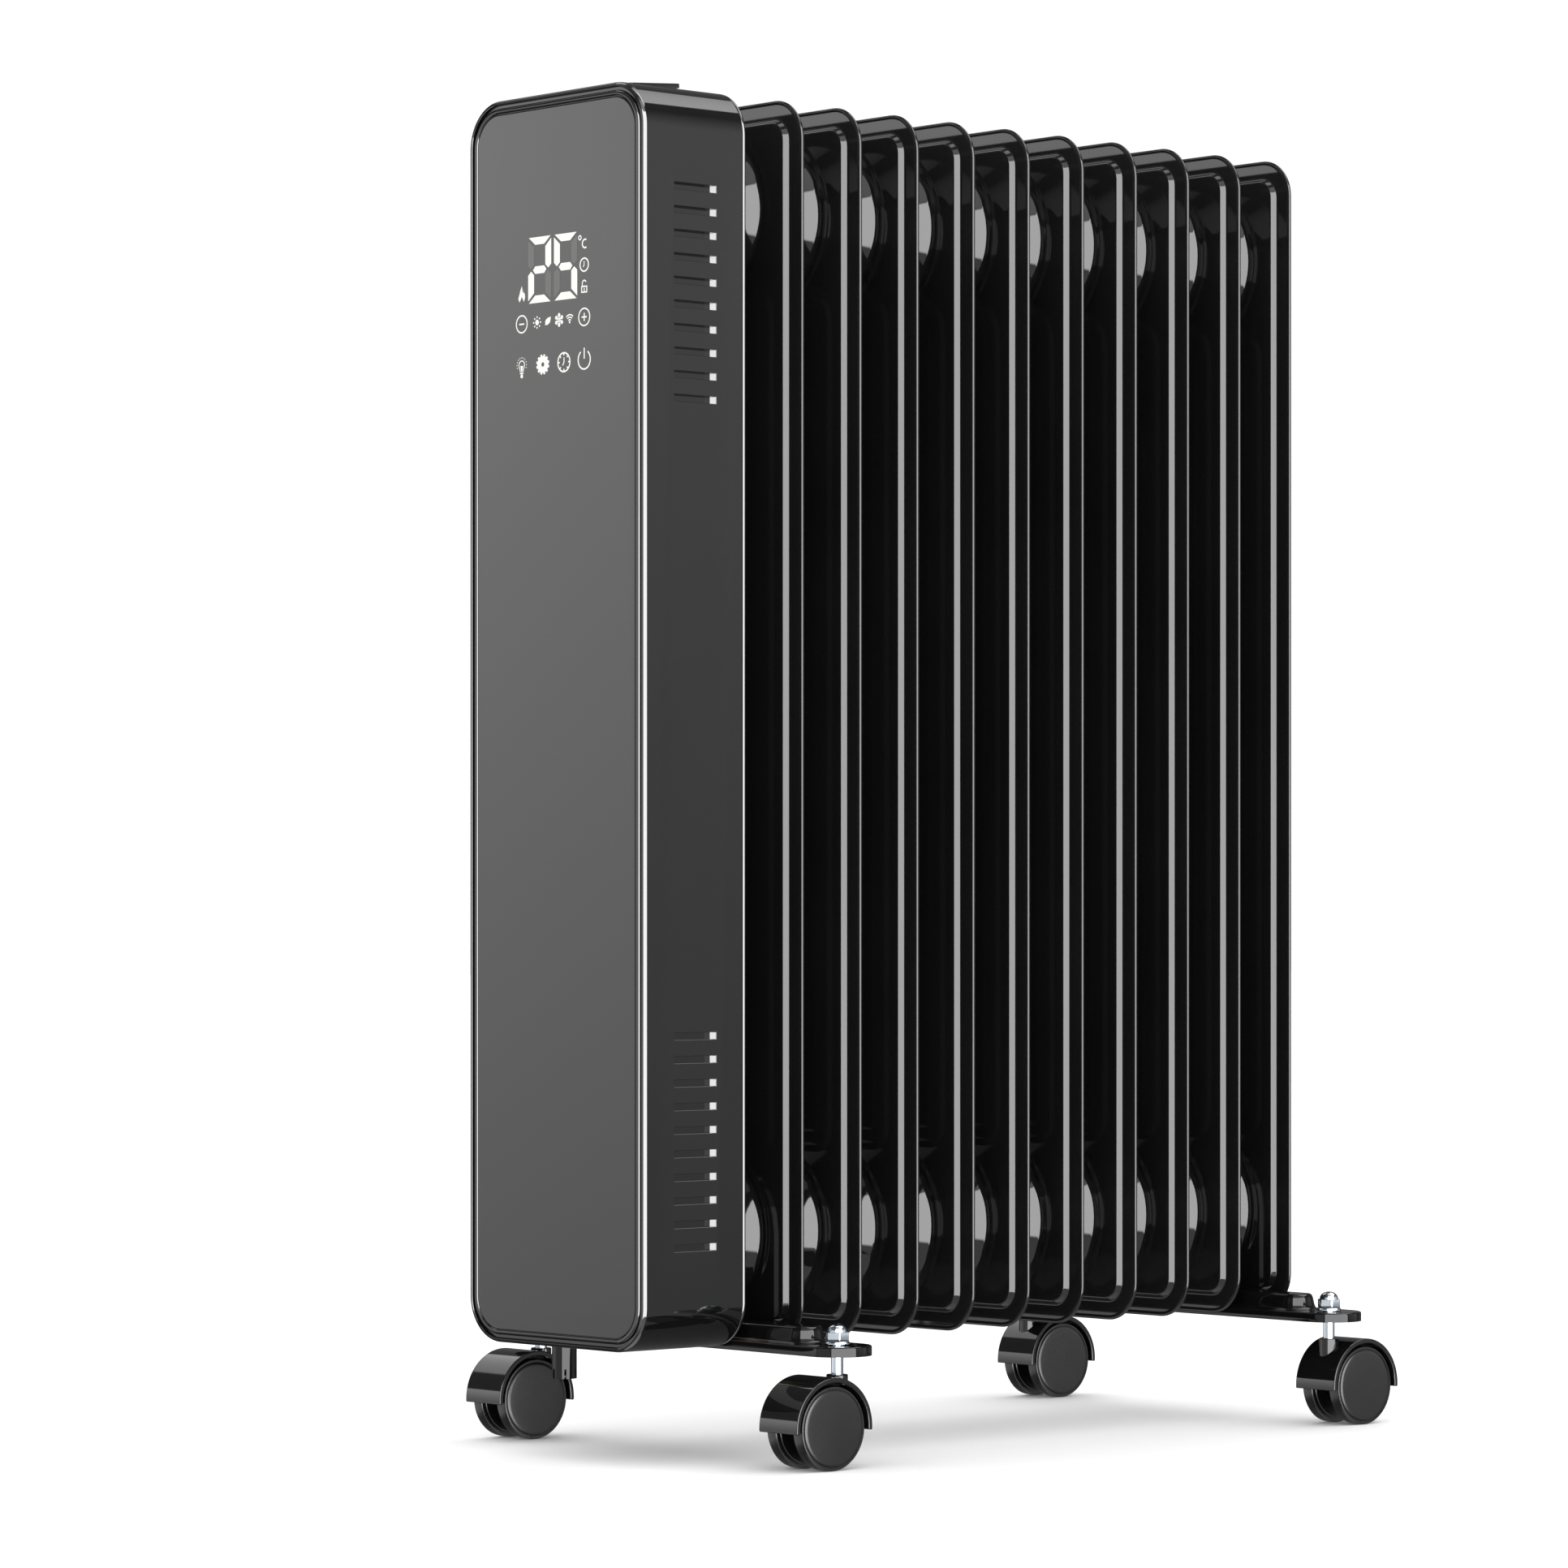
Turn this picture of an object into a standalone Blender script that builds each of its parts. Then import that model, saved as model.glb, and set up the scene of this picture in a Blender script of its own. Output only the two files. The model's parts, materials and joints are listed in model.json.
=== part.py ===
"""Oil filled radiator heater: pressed steel fins, a control box with a glass front, and four
twin-wheel casters on two pressed foot bars.

The control box faces -Y, the fins are stacked behind it along +Y, and the heater stands on the
floor at z = 0. Every size is in metres. A "depth" is measured backwards from the glass front.
"""

import math

import bmesh
import bpy
from mathutils import Matrix

# Clearances
TOUCH_GAP = 0.0003          # between pieces that touch
RUNNING_GAP = 0.0001        # radial, between a shaft and its bearing
HOLE_GAP = 0.0003           # radial, between a fixed shaft and its hole
CUT_OVER = 0.001            # how far a cutter runs past the face it opens

# Radiator body
FIN_COUNT = 10
FIN_PITCH = 0.03786
BODY_WIDTH = 0.131          # of the fins and of the control box
BODY_HEIGHT = 0.5991
FIN_CORNER = 0.020
FIN_SHEET = 0.0007
FLANGE_WIDTH = 0.0096       # flat welded rim around each fin
PANEL_RISE = 0.0034         # raised panel, from the fin's middle plane
PANEL_SLOPE = 0.0013        # width of the slanted step up to the panel
HUB_MARGIN = 0.0519         # from a fin's end to its hub's centre
HUB_BASE_RADIUS = 0.0392
HUB_NECK_RADIUS = 0.0280
HUB_NECK_LENGTH = 0.003
HUB_WALL = 0.0012
REAR_CAP_REACH = 0.010      # how far the last fin's closed hubs stand out
FIN_CORNER_STEPS = 3
HUB_STEPS = 14

# Control box
BOX_DEPTH = 0.0641
BOX_CORNER = 0.022
SHELL_WALL = 0.002
SHELL_FRONT = 0.0012        # how far the shell's front edge lies behind the glass front
SHELL_EDGE = 0.0010         # rounding of the shell's front edge
BEZEL_LIP = 0.0024
BEZEL_SEAT = 0.003
BEZEL_DEPTH = 0.0065
GLASS_THICKNESS = 0.003
BACK_PLATE_THICKNESS = 0.0021
BOX_GAP_TO_FIN = 0.0364     # from the back plate to the first fin's middle plane
BOX_CORNER_STEPS = 5

# Side vents
VENT_COUNT = 10
VENT_PITCH = 0.0111
VENT_LENGTH = 0.0264
VENT_HEIGHT = 0.0037
VENT_DEPTH = 0.004
VENT_FLOOR = 0.002
VENT_SLIT = 0.0010
VENT_MARGIN = 0.0492        # from the box's end to the nearest vent's centre
VENT_PAD_MARGIN = 0.0025

# Top cover
COVER_WIDTH = BODY_WIDTH - 2 * BOX_CORNER    # the flat part of the box's top
COVER_DEPTH_FRONT = 0.010
COVER_DEPTH_REAR = 0.042
COVER_FRONT_HEIGHT = 0.0005
COVER_REAR_HEIGHT = 0.0028

# Electronics
BOARD_THICKNESS = 0.0016
DISPLAY_WIDTH = 0.062
DISPLAY_HEIGHT = 0.078
DISPLAY_THICKNESS = 0.005
DISPLAY_FROM_TOP = 0.099    # display's centre below the top of the box
TOUCH_BOARD_WIDTH = 0.086
TOUCH_BOARD_HEIGHT = 0.135
POWER_BOARD_WIDTH = 0.096
POWER_BOARD_HEIGHT = 0.150
STANDOFF_LENGTH = 0.008
STANDOFF_RADIUS = 0.003

# Room temperature sensor under the box
CAGE_X = -0.023
CAGE_DEPTH = 0.025
CAGE_RADIUS = 0.006
CAGE_WALL = 0.0012
CAGE_REACH = 0.0174
CAGE_FLANGE_RADIUS = 0.0085
CAGE_FLANGE_HEIGHT = 0.002
CAGE_SLOTS = 6
CAGE_SLOT_WIDTH = 0.0016
CAGE_SLOT_HEIGHT = 0.0045

# Cord inlet, low on the left side
INLET_RADIUS = 0.0065
INLET_BORE = 0.0038
INLET_COLLAR_RADIUS = 0.0095
INLET_COLLAR_HEIGHT = 0.002
INLET_DEPTH = 0.046
INLET_RISE = 0.0245         # above the underside of the box

# Heating element and what closes the lower front hub
ELEMENT_RADIUS = 0.004
ELEMENT_HALF_SPACING = 0.011
ELEMENT_END_CLEARANCE = 0.030
TERMINAL_REACH = 0.012      # how far the element's ends reach into the box
ELEMENT_FLANGE_THICKNESS = 0.006
ELEMENT_BOSS_RADIUS = 0.0185
ELEMENT_BOSS_LENGTH = 0.007
ELEMENT_WINDOW_RADIUS = 0.021

# Upper fixing of the box
STUD_RADIUS = 0.004
STUD_COLLAR_RADIUS = 0.010
STUD_THREAD_REACH = 0.010

# Casters
WHEEL_RADIUS = 0.020
WHEEL_WIDTH = 0.008
WHEEL_CROWN = 0.0012
WHEEL_EDGE = 0.0012
AXLE_RADIUS = 0.002
AXLE_ROOF = 0.003           # of a wheel's face over the axle's end
AXLE_END_PLAY = 0.0004
CASTER_WIDTH = 0.027
HOOD_CLEARANCE = 0.0015
HOOD_WALL = 0.0025
WEB_THICKNESS = 0.009
TRAIL = 0.0135              # from the swivel axis to the wheels' axle
SOCKET_RADIUS = 0.005
SOCKET_RISE = 0.0002        # of the socket over the top of the hood
STEM_RADIUS = 0.003
STEM_FREE = 0.0090          # bare stem between the socket and the foot bar
STEM_FLOOR = 0.0285
STEP_COUNT_ROUND = 16
STEP_COUNT_WHEEL = 20

# Foot bars
STEM_SPACING = 0.220        # between the left and right swivel axes
BAR_HALF_WIDTH = 0.0165
BAR_HEIGHT = 0.0048
BAR_SHEET = 0.0015
BODY_LIFT = 0.0015          # of the fins' lower edge over the underside of the bars
RIB_HALF_WIDTH = 0.0095
RIB_RISE = 0.008
RIB_END = 0.0136            # from a swivel axis to the rib's end
BAR_END_STEPS = 8
CAP_NUT_FLANGE_RADIUS = 0.006
CAP_NUT_FLANGE_HEIGHT = 0.0016
CAP_NUT_ACROSS_CORNERS = 0.0112
CAP_NUT_HEX_HEIGHT = 0.0048
CAP_NUT_DOME_HEIGHT = 0.0034
CAP_NUT_ROOF = 0.002
U_BOLT_RADIUS = 0.003
U_BOLT_TAIL = 0.0025        # of a leg past its nut
U_NUT_HEIGHT = 0.005
U_NUT_ACROSS_CORNERS = 0.0115

# Heights and places that follow from the sizes above
AXLE_Z = WHEEL_RADIUS
HOOD_RADIUS = WHEEL_RADIUS + HOOD_CLEARANCE + HOOD_WALL
SOCKET_TOP = AXLE_Z + HOOD_RADIUS + SOCKET_RISE
BAR_BOTTOM = SOCKET_TOP + STEM_FREE
BAR_TOP = BAR_BOTTOM + BAR_HEIGHT
RIB_TOP = BAR_TOP + RIB_RISE
BODY_BOTTOM = BAR_BOTTOM + BODY_LIFT
BODY_TOP = BODY_BOTTOM + BODY_HEIGHT
BODY_MIDDLE = (BODY_BOTTOM + BODY_TOP) / 2
LOWER_HUB_Z = BODY_BOTTOM + HUB_MARGIN
UPPER_HUB_Z = BODY_TOP - HUB_MARGIN
HUB_REACH = (FIN_PITCH - TOUCH_GAP) / 2
FIRST_FIN_DEPTH = BOX_DEPTH + BOX_GAP_TO_FIN
LAST_FIN_DEPTH = FIRST_FIN_DEPTH + (FIN_COUNT - 1) * FIN_PITCH
FRONT_BAR_DEPTH = (BOX_DEPTH + FIRST_FIN_DEPTH - FIN_SHEET) / 2
REAR_BAR_DEPTH = LAST_FIN_DEPTH - FIN_PITCH / 2
TOTAL_DEPTH = REAR_BAR_DEPTH + TRAIL + HOOD_RADIUS
FRONT_HUB_END = FIRST_FIN_DEPTH - HUB_REACH
BACK_PLATE_FRONT = BOX_DEPTH - BACK_PLATE_THICKNESS
SHELL_REAR = BACK_PLATE_FRONT - TOUCH_GAP
SHELL_FLOOR = BODY_BOTTOM + SHELL_WALL
BEZEL_INSET = SHELL_WALL + TOUCH_GAP
GLASS_INSET = BEZEL_INSET + BEZEL_LIP + TOUCH_GAP
GLASS_BACK = TOUCH_GAP + GLASS_THICKNESS
WHEEL_GAP = CASTER_WIDTH - 2 * WHEEL_WIDTH
INLET_Z = BODY_BOTTOM + INLET_RISE
U_BOLT_HALF_SPACING = HUB_NECK_RADIUS + 2 * TOUCH_GAP + U_BOLT_RADIUS
U_NUT_TOP = RIB_TOP - BAR_SHEET - TOUCH_GAP


def clear_scene():
    """Removes whatever the scene starts with."""
    for item in list(bpy.data.objects):
        bpy.data.objects.remove(item, do_unlink=True)


def collection(name):
    """Makes a collection in the scene."""
    made = bpy.data.collections.new(name)
    bpy.context.scene.collection.children.link(made)
    return made


clear_scene()
PARTS = collection("oil_filled_radiator_heater")
CUTTERS = collection("cutters")


def y_at(depth):
    """World y of a depth behind the glass front: the heater is centred on the origin."""
    return depth - TOTAL_DEPTH / 2


def finish(name, colour, roughness, metallic):
    """Makes one sub-part's material."""
    material = bpy.data.materials.new(name)
    material.use_nodes = True
    shader = material.node_tree.nodes["Principled BSDF"]
    shader.inputs["Base Color"].default_value = (*colour, 1.0)
    shader.inputs["Roughness"].default_value = roughness
    shader.inputs["Metallic"].default_value = metallic
    return material


def black_enamel(name):
    return finish(name, (0.012, 0.012, 0.013), 0.12, 0.0)


def black_plastic(name):
    return finish(name, (0.015, 0.015, 0.016), 0.18, 0.0)


def zinc(name):
    return finish(name, (0.74, 0.76, 0.80), 0.25, 1.0)


def circuit_board(name):
    return finish(name, (0.02, 0.13, 0.06), 0.5, 0.0)


def dress(item, material, smooth=False):
    """Gives a finished sub-part its material and its shading."""
    item.data.materials.clear()
    item.data.materials.append(material(item.name))
    if smooth and item.type == "MESH":
        item.data.shade_smooth()
    return item


def new_object(name, data, group=PARTS):
    item = bpy.data.objects.new(name, data)
    group.objects.link(item)
    return item


def mesh_object(name, bm, group=PARTS):
    """Turns a finished bmesh into an object."""
    mesh = bpy.data.meshes.new(name)
    bm.to_mesh(mesh)
    bm.free()
    return new_object(name, mesh, group)


def as_cutter(item):
    """Moves an object out of the parts: it only shapes another one."""
    for group in list(item.users_collection):
        group.objects.unlink(item)
    CUTTERS.objects.link(item)
    item.hide_render = True
    item.display_type = "WIRE"
    return item


def shape_by(target, cutter, operation="DIFFERENCE"):
    """Cuts a cutter out of the target, or joins it to the target."""
    as_cutter(cutter)
    modifier = target.modifiers.new(cutter.name, "BOOLEAN")
    modifier.operation = operation
    modifier.solver = "EXACT"
    modifier.object = cutter


def rounded_outline(width, height, radius, steps):
    """Points of a rounded rectangle around the origin."""
    points = []
    for side_x, side_z, start in ((1, 1, 0), (-1, 1, 90), (-1, -1, 180), (1, -1, 270)):
        for step in range(steps + 1):
            angle = math.radians(start + 90 * step / steps)
            x = side_x * (width / 2 - radius) + radius * math.cos(angle)
            z = side_z * (height / 2 - radius) + radius * math.sin(angle)
            points.append((x, z))
    return points


def stadium_outline(half_length, half_width, steps):
    """Points of a slot shape whose round ends have the half width as their radius."""
    points = []
    for side, start in ((1, -90), (-1, 90)):
        for step in range(steps + 1):
            angle = math.radians(start + 180 * step / steps)
            x = side * (half_length - half_width) + half_width * math.cos(angle)
            points.append((x, half_width * math.sin(angle)))
    return points


def loft(name, rings, closed, group=PARTS):
    """Skins rings of equal point counts. Closed joins the last ring to the first one, and
    otherwise both ends are capped."""
    bm = bmesh.new()
    loops = [[bm.verts.new(point) for point in ring] for ring in rings]
    pairs = list(zip(loops, loops[1:]))
    if closed:
        pairs.append((loops[-1], loops[0]))
    else:
        bm.faces.new(loops[0])
        bm.faces.new(loops[-1])
    for near, far in pairs:
        for index, corner in enumerate(near):
            following = (index + 1) % len(near)
            bm.faces.new((corner, near[following], far[following], far[index]))
    bmesh.ops.recalc_face_normals(bm, faces=bm.faces)
    return mesh_object(name, bm, group)


def upright_rings(width, height, corner, steps, profile, centre_z):
    """Rounded rectangles that stand in the xz plane, one for each (inset, depth)."""
    rings = []
    for inset, depth in profile:
        outline = rounded_outline(width - 2 * inset, height - 2 * inset, corner - inset, steps)
        rings.append([(x, y_at(depth), centre_z + z) for x, z in outline])
    return rings


def box(name, size, centre, group=PARTS):
    """A cuboid from its size and the place of its centre."""
    bm = bmesh.new()
    bmesh.ops.create_cube(bm, size=1.0)
    bmesh.ops.scale(bm, vec=size, verts=bm.verts)
    bmesh.ops.translate(bm, vec=centre, verts=bm.verts)
    return mesh_object(name, bm, group)


def rod(name, radius, length, centre, axis, steps=STEP_COUNT_ROUND, group=PARTS):
    """A capped cylinder along a world axis, around its centre."""
    bm = bmesh.new()
    bmesh.ops.create_cone(
        bm, cap_ends=True, segments=steps, radius1=radius, radius2=radius, depth=length
    )
    turns = {
        "X": Matrix.Rotation(math.pi / 2, 4, "Y"),
        "Y": Matrix.Rotation(-math.pi / 2, 4, "X"),
        "Z": Matrix.Identity(4),
    }
    bmesh.ops.transform(bm, matrix=Matrix.Translation(centre) @ turns[axis], verts=bm.verts)
    return mesh_object(name, bm, group)


def turned(name, profile, axis, place, steps=STEP_COUNT_ROUND, ring=False, group=PARTS):
    """Turns a profile of (radius, height) points, listed down its outer side, around an axis
    through a place. A ring's profile closes on itself and stays clear of the axis."""
    bm = bmesh.new()
    points = [bm.verts.new((radius, 0.0, height)) for radius, height in profile]
    for start, end in zip(points, points[1:]):
        bm.edges.new((start, end))
    if ring:
        bm.edges.new((points[-1], points[0]))
    item = mesh_object(name, bm, group)
    screw = item.modifiers.new("turn", "SCREW")
    screw.angle = math.tau
    screw.steps = steps
    screw.render_steps = steps
    screw.use_merge_vertices = True
    screw.merge_threshold = 0.00001
    item.rotation_euler = {
        "X": (0.0, math.pi / 2, 0.0),
        "-X": (0.0, -math.pi / 2, 0.0),
        "Y": (-math.pi / 2, 0.0, 0.0),
        "Z": (0.0, 0.0, 0.0),
    }[axis]
    item.location = place
    return item


def flat_plate(name, outlines, centre, thickness, upright, group=PARTS):
    """A plate from closed outlines: the first is its edge and the others are its holes. An
    upright plate stands in the xz plane, and any other lies in the xy plane."""
    curve = bpy.data.curves.new(name, "CURVE")
    curve.dimensions = "2D"
    curve.fill_mode = "BOTH"
    curve.extrude = thickness / 2
    for outline in outlines:
        spline = curve.splines.new("POLY")
        spline.points.add(len(outline) - 1)
        for point, (x, y) in zip(spline.points, outline):
            point.co = (x, y, 0.0, 1.0)
        spline.use_cyclic_u = True
    item = new_object(name, curve, group)
    item.location = centre
    if upright:
        item.rotation_euler = (math.pi / 2, 0.0, 0.0)
    return item


def circle(radius, centre=(0.0, 0.0), steps=STEP_COUNT_ROUND):
    """Points of a circle in a plane."""
    angles = [math.tau * step / steps for step in range(steps)]
    return [
        (centre[0] + radius * math.cos(angle), centre[1] + radius * math.sin(angle))
        for angle in angles
    ]


def tube(name, points, radius, group=PARTS):
    """A round bar along a list of points."""
    curve = bpy.data.curves.new(name, "CURVE")
    curve.dimensions = "3D"
    curve.bevel_depth = radius
    curve.bevel_resolution = 2
    curve.use_fill_caps = True
    spline = curve.splines.new("POLY")
    spline.points.add(len(points) - 1)
    for point, place in zip(spline.points, points):
        point.co = (*place, 1.0)
    return new_object(name, curve, group)


def hang_on(child, parent, place):
    """Puts a child at a world place and parents it."""
    child.parent = parent
    child.location = [at - base for at, base in zip(place, parent.location)]


# Radiator fins


def hub_profile(front, rear, neck_front, neck_rear, shrink):
    """Half outline of a fin's hub, along its axis, from its front end to its rear end. Each
    flank is a cone from the neck down to the panel."""
    slope = (HUB_BASE_RADIUS - HUB_NECK_RADIUS) / (HUB_REACH - HUB_NECK_LENGTH - PANEL_RISE)
    neck_end = HUB_REACH - HUB_NECK_LENGTH
    inner = PANEL_RISE - CUT_OVER

    def radius_at(reach):
        return HUB_NECK_RADIUS + max(0.0, neck_end - reach) * slope - shrink

    points = [(0.0, front), (radius_at(front), front)]
    if neck_front:
        points.append((radius_at(neck_end), neck_end))
    points.append((radius_at(inner), inner))
    points.append((radius_at(inner), -inner))
    if neck_rear:
        points.append((radius_at(neck_end), -neck_end))
    points.append((radius_at(rear), -rear))
    points.append((0.0, -rear))
    return points


def fin(index):
    """One fin: two pressed plates welded at a flat rim, hollow, with a hub near each end that
    joins it to its neighbours. The first fin is closed in front of its upper hub and the last
    one behind both hubs."""
    name = f"fin_{index + 1:02d}"
    depth = FIRST_FIN_DEPTH + index * FIN_PITCH
    first = index == 0
    last = index == FIN_COUNT - 1
    outer = [
        (FLANGE_WIDTH + PANEL_SLOPE, depth - PANEL_RISE),
        (FLANGE_WIDTH, depth - FIN_SHEET),
        (0.0, depth - FIN_SHEET),
        (0.0, depth + FIN_SHEET),
        (FLANGE_WIDTH, depth + FIN_SHEET),
        (FLANGE_WIDTH + PANEL_SLOPE, depth + PANEL_RISE),
    ]
    body = loft(
        name,
        upright_rings(BODY_WIDTH, BODY_HEIGHT, FIN_CORNER, FIN_CORNER_STEPS, outer, BODY_MIDDLE),
        closed=False,
    )
    rear_reach = REAR_CAP_REACH if last else HUB_REACH
    for place, z in (("upper", UPPER_HUB_Z), ("lower", LOWER_HUB_Z)):
        hub = turned(
            f"{name}_{place}_hub",
            hub_profile(HUB_REACH, rear_reach, True, not last, 0.0),
            "Y",
            (0.0, y_at(depth), z),
            HUB_STEPS,
        )
        hub.rotation_euler = (math.pi / 2, 0.0, 0.0)
        shape_by(body, hub, "UNION")
    inner_rise = PANEL_RISE - FIN_SHEET
    hollow_profile = [
        (FLANGE_WIDTH + PANEL_SLOPE + FIN_SHEET, depth - inner_rise),
        (FLANGE_WIDTH + FIN_SHEET, depth),
        (FLANGE_WIDTH + PANEL_SLOPE + FIN_SHEET, depth + inner_rise),
    ]
    hollow = loft(
        f"{name}_hollow",
        upright_rings(
            BODY_WIDTH, BODY_HEIGHT, FIN_CORNER, FIN_CORNER_STEPS, hollow_profile, BODY_MIDDLE
        ),
        closed=False,
    )
    shape_by(body, hollow)
    for place, z in (("upper", UPPER_HUB_Z), ("lower", LOWER_HUB_Z)):
        front = HUB_REACH - HUB_WALL if first and place == "upper" else HUB_REACH + CUT_OVER
        rear = REAR_CAP_REACH - HUB_WALL if last else HUB_REACH + CUT_OVER
        bore = turned(
            f"{name}_{place}_bore",
            hub_profile(front, rear, True, not last, HUB_WALL),
            "Y",
            (0.0, y_at(depth), z),
            HUB_STEPS,
        )
        bore.rotation_euler = (math.pi / 2, 0.0, 0.0)
        shape_by(body, bore)
    return dress(body, black_enamel)


def heating_element():
    """A hairpin of sheathed tube through the lower hubs, with its ends in the box."""
    start = BACK_PLATE_FRONT - TERMINAL_REACH
    bend = LAST_FIN_DEPTH - ELEMENT_END_CLEARANCE
    points = [(-ELEMENT_HALF_SPACING, y_at(start), LOWER_HUB_Z)]
    for step in range(9):
        angle = math.pi * step / 8
        x = -ELEMENT_HALF_SPACING * math.cos(angle)
        points.append((x, y_at(bend + ELEMENT_HALF_SPACING * math.sin(angle)), LOWER_HUB_Z))
    points.append((ELEMENT_HALF_SPACING, y_at(start), LOWER_HUB_Z))
    item = tube("heating_element", points, ELEMENT_RADIUS)
    return dress(item, lambda name: finish(name, (0.55, 0.55, 0.56), 0.35, 1.0))


def element_flange():
    """Closes the lower front hub and carries the element's two ends."""
    rear = FRONT_HUB_END - TOUCH_GAP
    seat = rear - ELEMENT_FLANGE_THICKNESS
    front = seat - ELEMENT_BOSS_LENGTH
    middle = (front + rear) / 2
    item = turned(
        "element_flange",
        [
            (0.0, middle - front),
            (ELEMENT_BOSS_RADIUS, middle - front),
            (ELEMENT_BOSS_RADIUS, middle - seat),
            (HUB_NECK_RADIUS, middle - seat),
            (HUB_NECK_RADIUS, middle - rear),
            (0.0, middle - rear),
        ],
        "Y",
        (0.0, y_at(middle), LOWER_HUB_Z),
        HUB_STEPS,
    )
    item.rotation_euler = (math.pi / 2, 0.0, 0.0)
    for side in (-1, 1):
        hole = rod(
            f"element_hole_{side}",
            ELEMENT_RADIUS + HOLE_GAP,
            rear - front + 2 * CUT_OVER,
            (side * ELEMENT_HALF_SPACING, y_at(middle), LOWER_HUB_Z),
            "Y",
        )
        shape_by(item, hole)
    return dress(item, lambda name: finish(name, (0.62, 0.47, 0.20), 0.3, 1.0))


def oil_filler_plug():
    """Seals the filling hole in the last fin's upper hub."""
    depth = LAST_FIN_DEPTH + REAR_CAP_REACH + TOUCH_GAP
    item = turned(
        "oil_filler_plug",
        [(0.0, 0.0035), (0.0045, 0.0035), (0.0060, 0.0015), (0.0060, 0.0), (0.0, 0.0)],
        "Y",
        (0.0, y_at(depth), UPPER_HUB_Z),
    )
    return dress(item, zinc)


def thermal_cutout():
    """Bimetal overheat cut-out against the first fin's panel, behind the box."""
    rear = FIRST_FIN_DEPTH - PANEL_RISE - TOUCH_GAP
    item = turned(
        "thermal_cutout",
        [(0.0, 0.012), (0.006, 0.012), (0.006, 0.005), (0.009, 0.005), (0.009, 0.0), (0.0, 0.0)],
        "Y",
        (0.0, y_at(rear), UPPER_HUB_Z - 0.060),
    )
    item.rotation_euler = (math.pi / 2, 0.0, 0.0)
    return dress(item, lambda name: finish(name, (0.35, 0.33, 0.30), 0.5, 0.0))


def mounting_stud():
    """Spacer stud between the upper front hub and the back plate."""
    rear = FRONT_HUB_END - TOUCH_GAP
    seat = BOX_DEPTH + TOUCH_GAP
    front = BACK_PLATE_FRONT - STUD_THREAD_REACH
    item = turned(
        "mounting_stud",
        [
            (0.0, rear - front),
            (STUD_RADIUS, rear - front),
            (STUD_RADIUS, rear - seat),
            (STUD_COLLAR_RADIUS, rear - seat),
            (STUD_COLLAR_RADIUS, 0.0),
            (0.0, 0.0),
        ],
        "Y",
        (0.0, y_at(rear), UPPER_HUB_Z),
    )
    item.rotation_euler = (math.pi / 2, 0.0, 0.0)
    return dress(item, zinc)


# Control box


def vent_heights():
    """Heights of the side vents' centres, lower group first."""
    lowest = BODY_BOTTOM + VENT_MARGIN
    highest = BODY_TOP - VENT_MARGIN
    lower = [lowest + index * VENT_PITCH for index in range(VENT_COUNT)]
    upper = [highest - index * VENT_PITCH for index in range(VENT_COUNT)]
    return lower + upper


def join_boxes(name, boxes):
    """Several cuboids in one mesh, each from its size and centre."""
    bm = bmesh.new()
    for size, centre in boxes:
        made = bmesh.ops.create_cube(bm, size=1.0)["verts"]
        bmesh.ops.scale(bm, vec=size, verts=made)
        bmesh.ops.translate(bm, vec=centre, verts=made)
    return mesh_object(name, bm)


def housing_shell():
    """The box's wrap-around shell, open at its front and back, with vents in both sides."""
    edge = SHELL_FRONT
    profile = [
        (0.0, SHELL_REAR),
        (SHELL_WALL, SHELL_REAR),
        (SHELL_WALL, edge + SHELL_EDGE / 2),
        (SHELL_EDGE, edge),
        (0.3 * SHELL_EDGE, edge + 0.3 * SHELL_EDGE),
        (0.0, edge + SHELL_EDGE),
    ]
    shell = loft(
        "housing_shell",
        upright_rings(BODY_WIDTH, BODY_HEIGHT, BOX_CORNER, BOX_CORNER_STEPS, profile, BODY_MIDDLE),
        closed=True,
    )
    vent_middle = BOX_DEPTH / 2
    group_height = (VENT_COUNT - 1) * VENT_PITCH + VENT_HEIGHT + 2 * VENT_PAD_MARGIN
    pad_inner = BODY_WIDTH / 2 - VENT_DEPTH - VENT_FLOOR
    pad_outer = BODY_WIDTH / 2 - SHELL_WALL / 2
    pads = []
    pockets = []
    slits = []
    heights = vent_heights()
    for side in (-1, 1):
        for group in (heights[:VENT_COUNT], heights[VENT_COUNT:]):
            centre_z = (group[0] + group[-1]) / 2
            size = (pad_outer - pad_inner, VENT_LENGTH + 2 * VENT_PAD_MARGIN, group_height)
            pads.append((size, (side * (pad_inner + pad_outer) / 2, y_at(vent_middle), centre_z)))
        for z in heights:
            x = side * (BODY_WIDTH / 2 - VENT_DEPTH / 2 + CUT_OVER / 2)
            size = (VENT_DEPTH + CUT_OVER, VENT_LENGTH, VENT_HEIGHT)
            pockets.append((size, (x, y_at(vent_middle), z)))
            x = side * (BODY_WIDTH / 2 - VENT_DEPTH - VENT_FLOOR / 2)
            size = (VENT_FLOOR + 2 * CUT_OVER, VENT_LENGTH - VENT_HEIGHT, VENT_SLIT)
            slit_z = z + VENT_HEIGHT / 2 - VENT_SLIT
            slits.append((size, (x, y_at(vent_middle), slit_z)))
    shape_by(shell, join_boxes("vent_pads", pads), "UNION")
    shape_by(shell, join_boxes("vent_pockets", pockets))
    shape_by(shell, join_boxes("vent_slits", slits))
    cage_hole = rod(
        "cage_hole",
        CAGE_RADIUS + HOLE_GAP,
        3 * SHELL_WALL,
        (CAGE_X, y_at(CAGE_DEPTH), BODY_BOTTOM + SHELL_WALL / 2),
        "Z",
    )
    shape_by(shell, cage_hole)
    shape_by(shell, inlet_body("inlet_hole", INLET_RADIUS + HOLE_GAP))
    return dress(shell, black_plastic)


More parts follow.
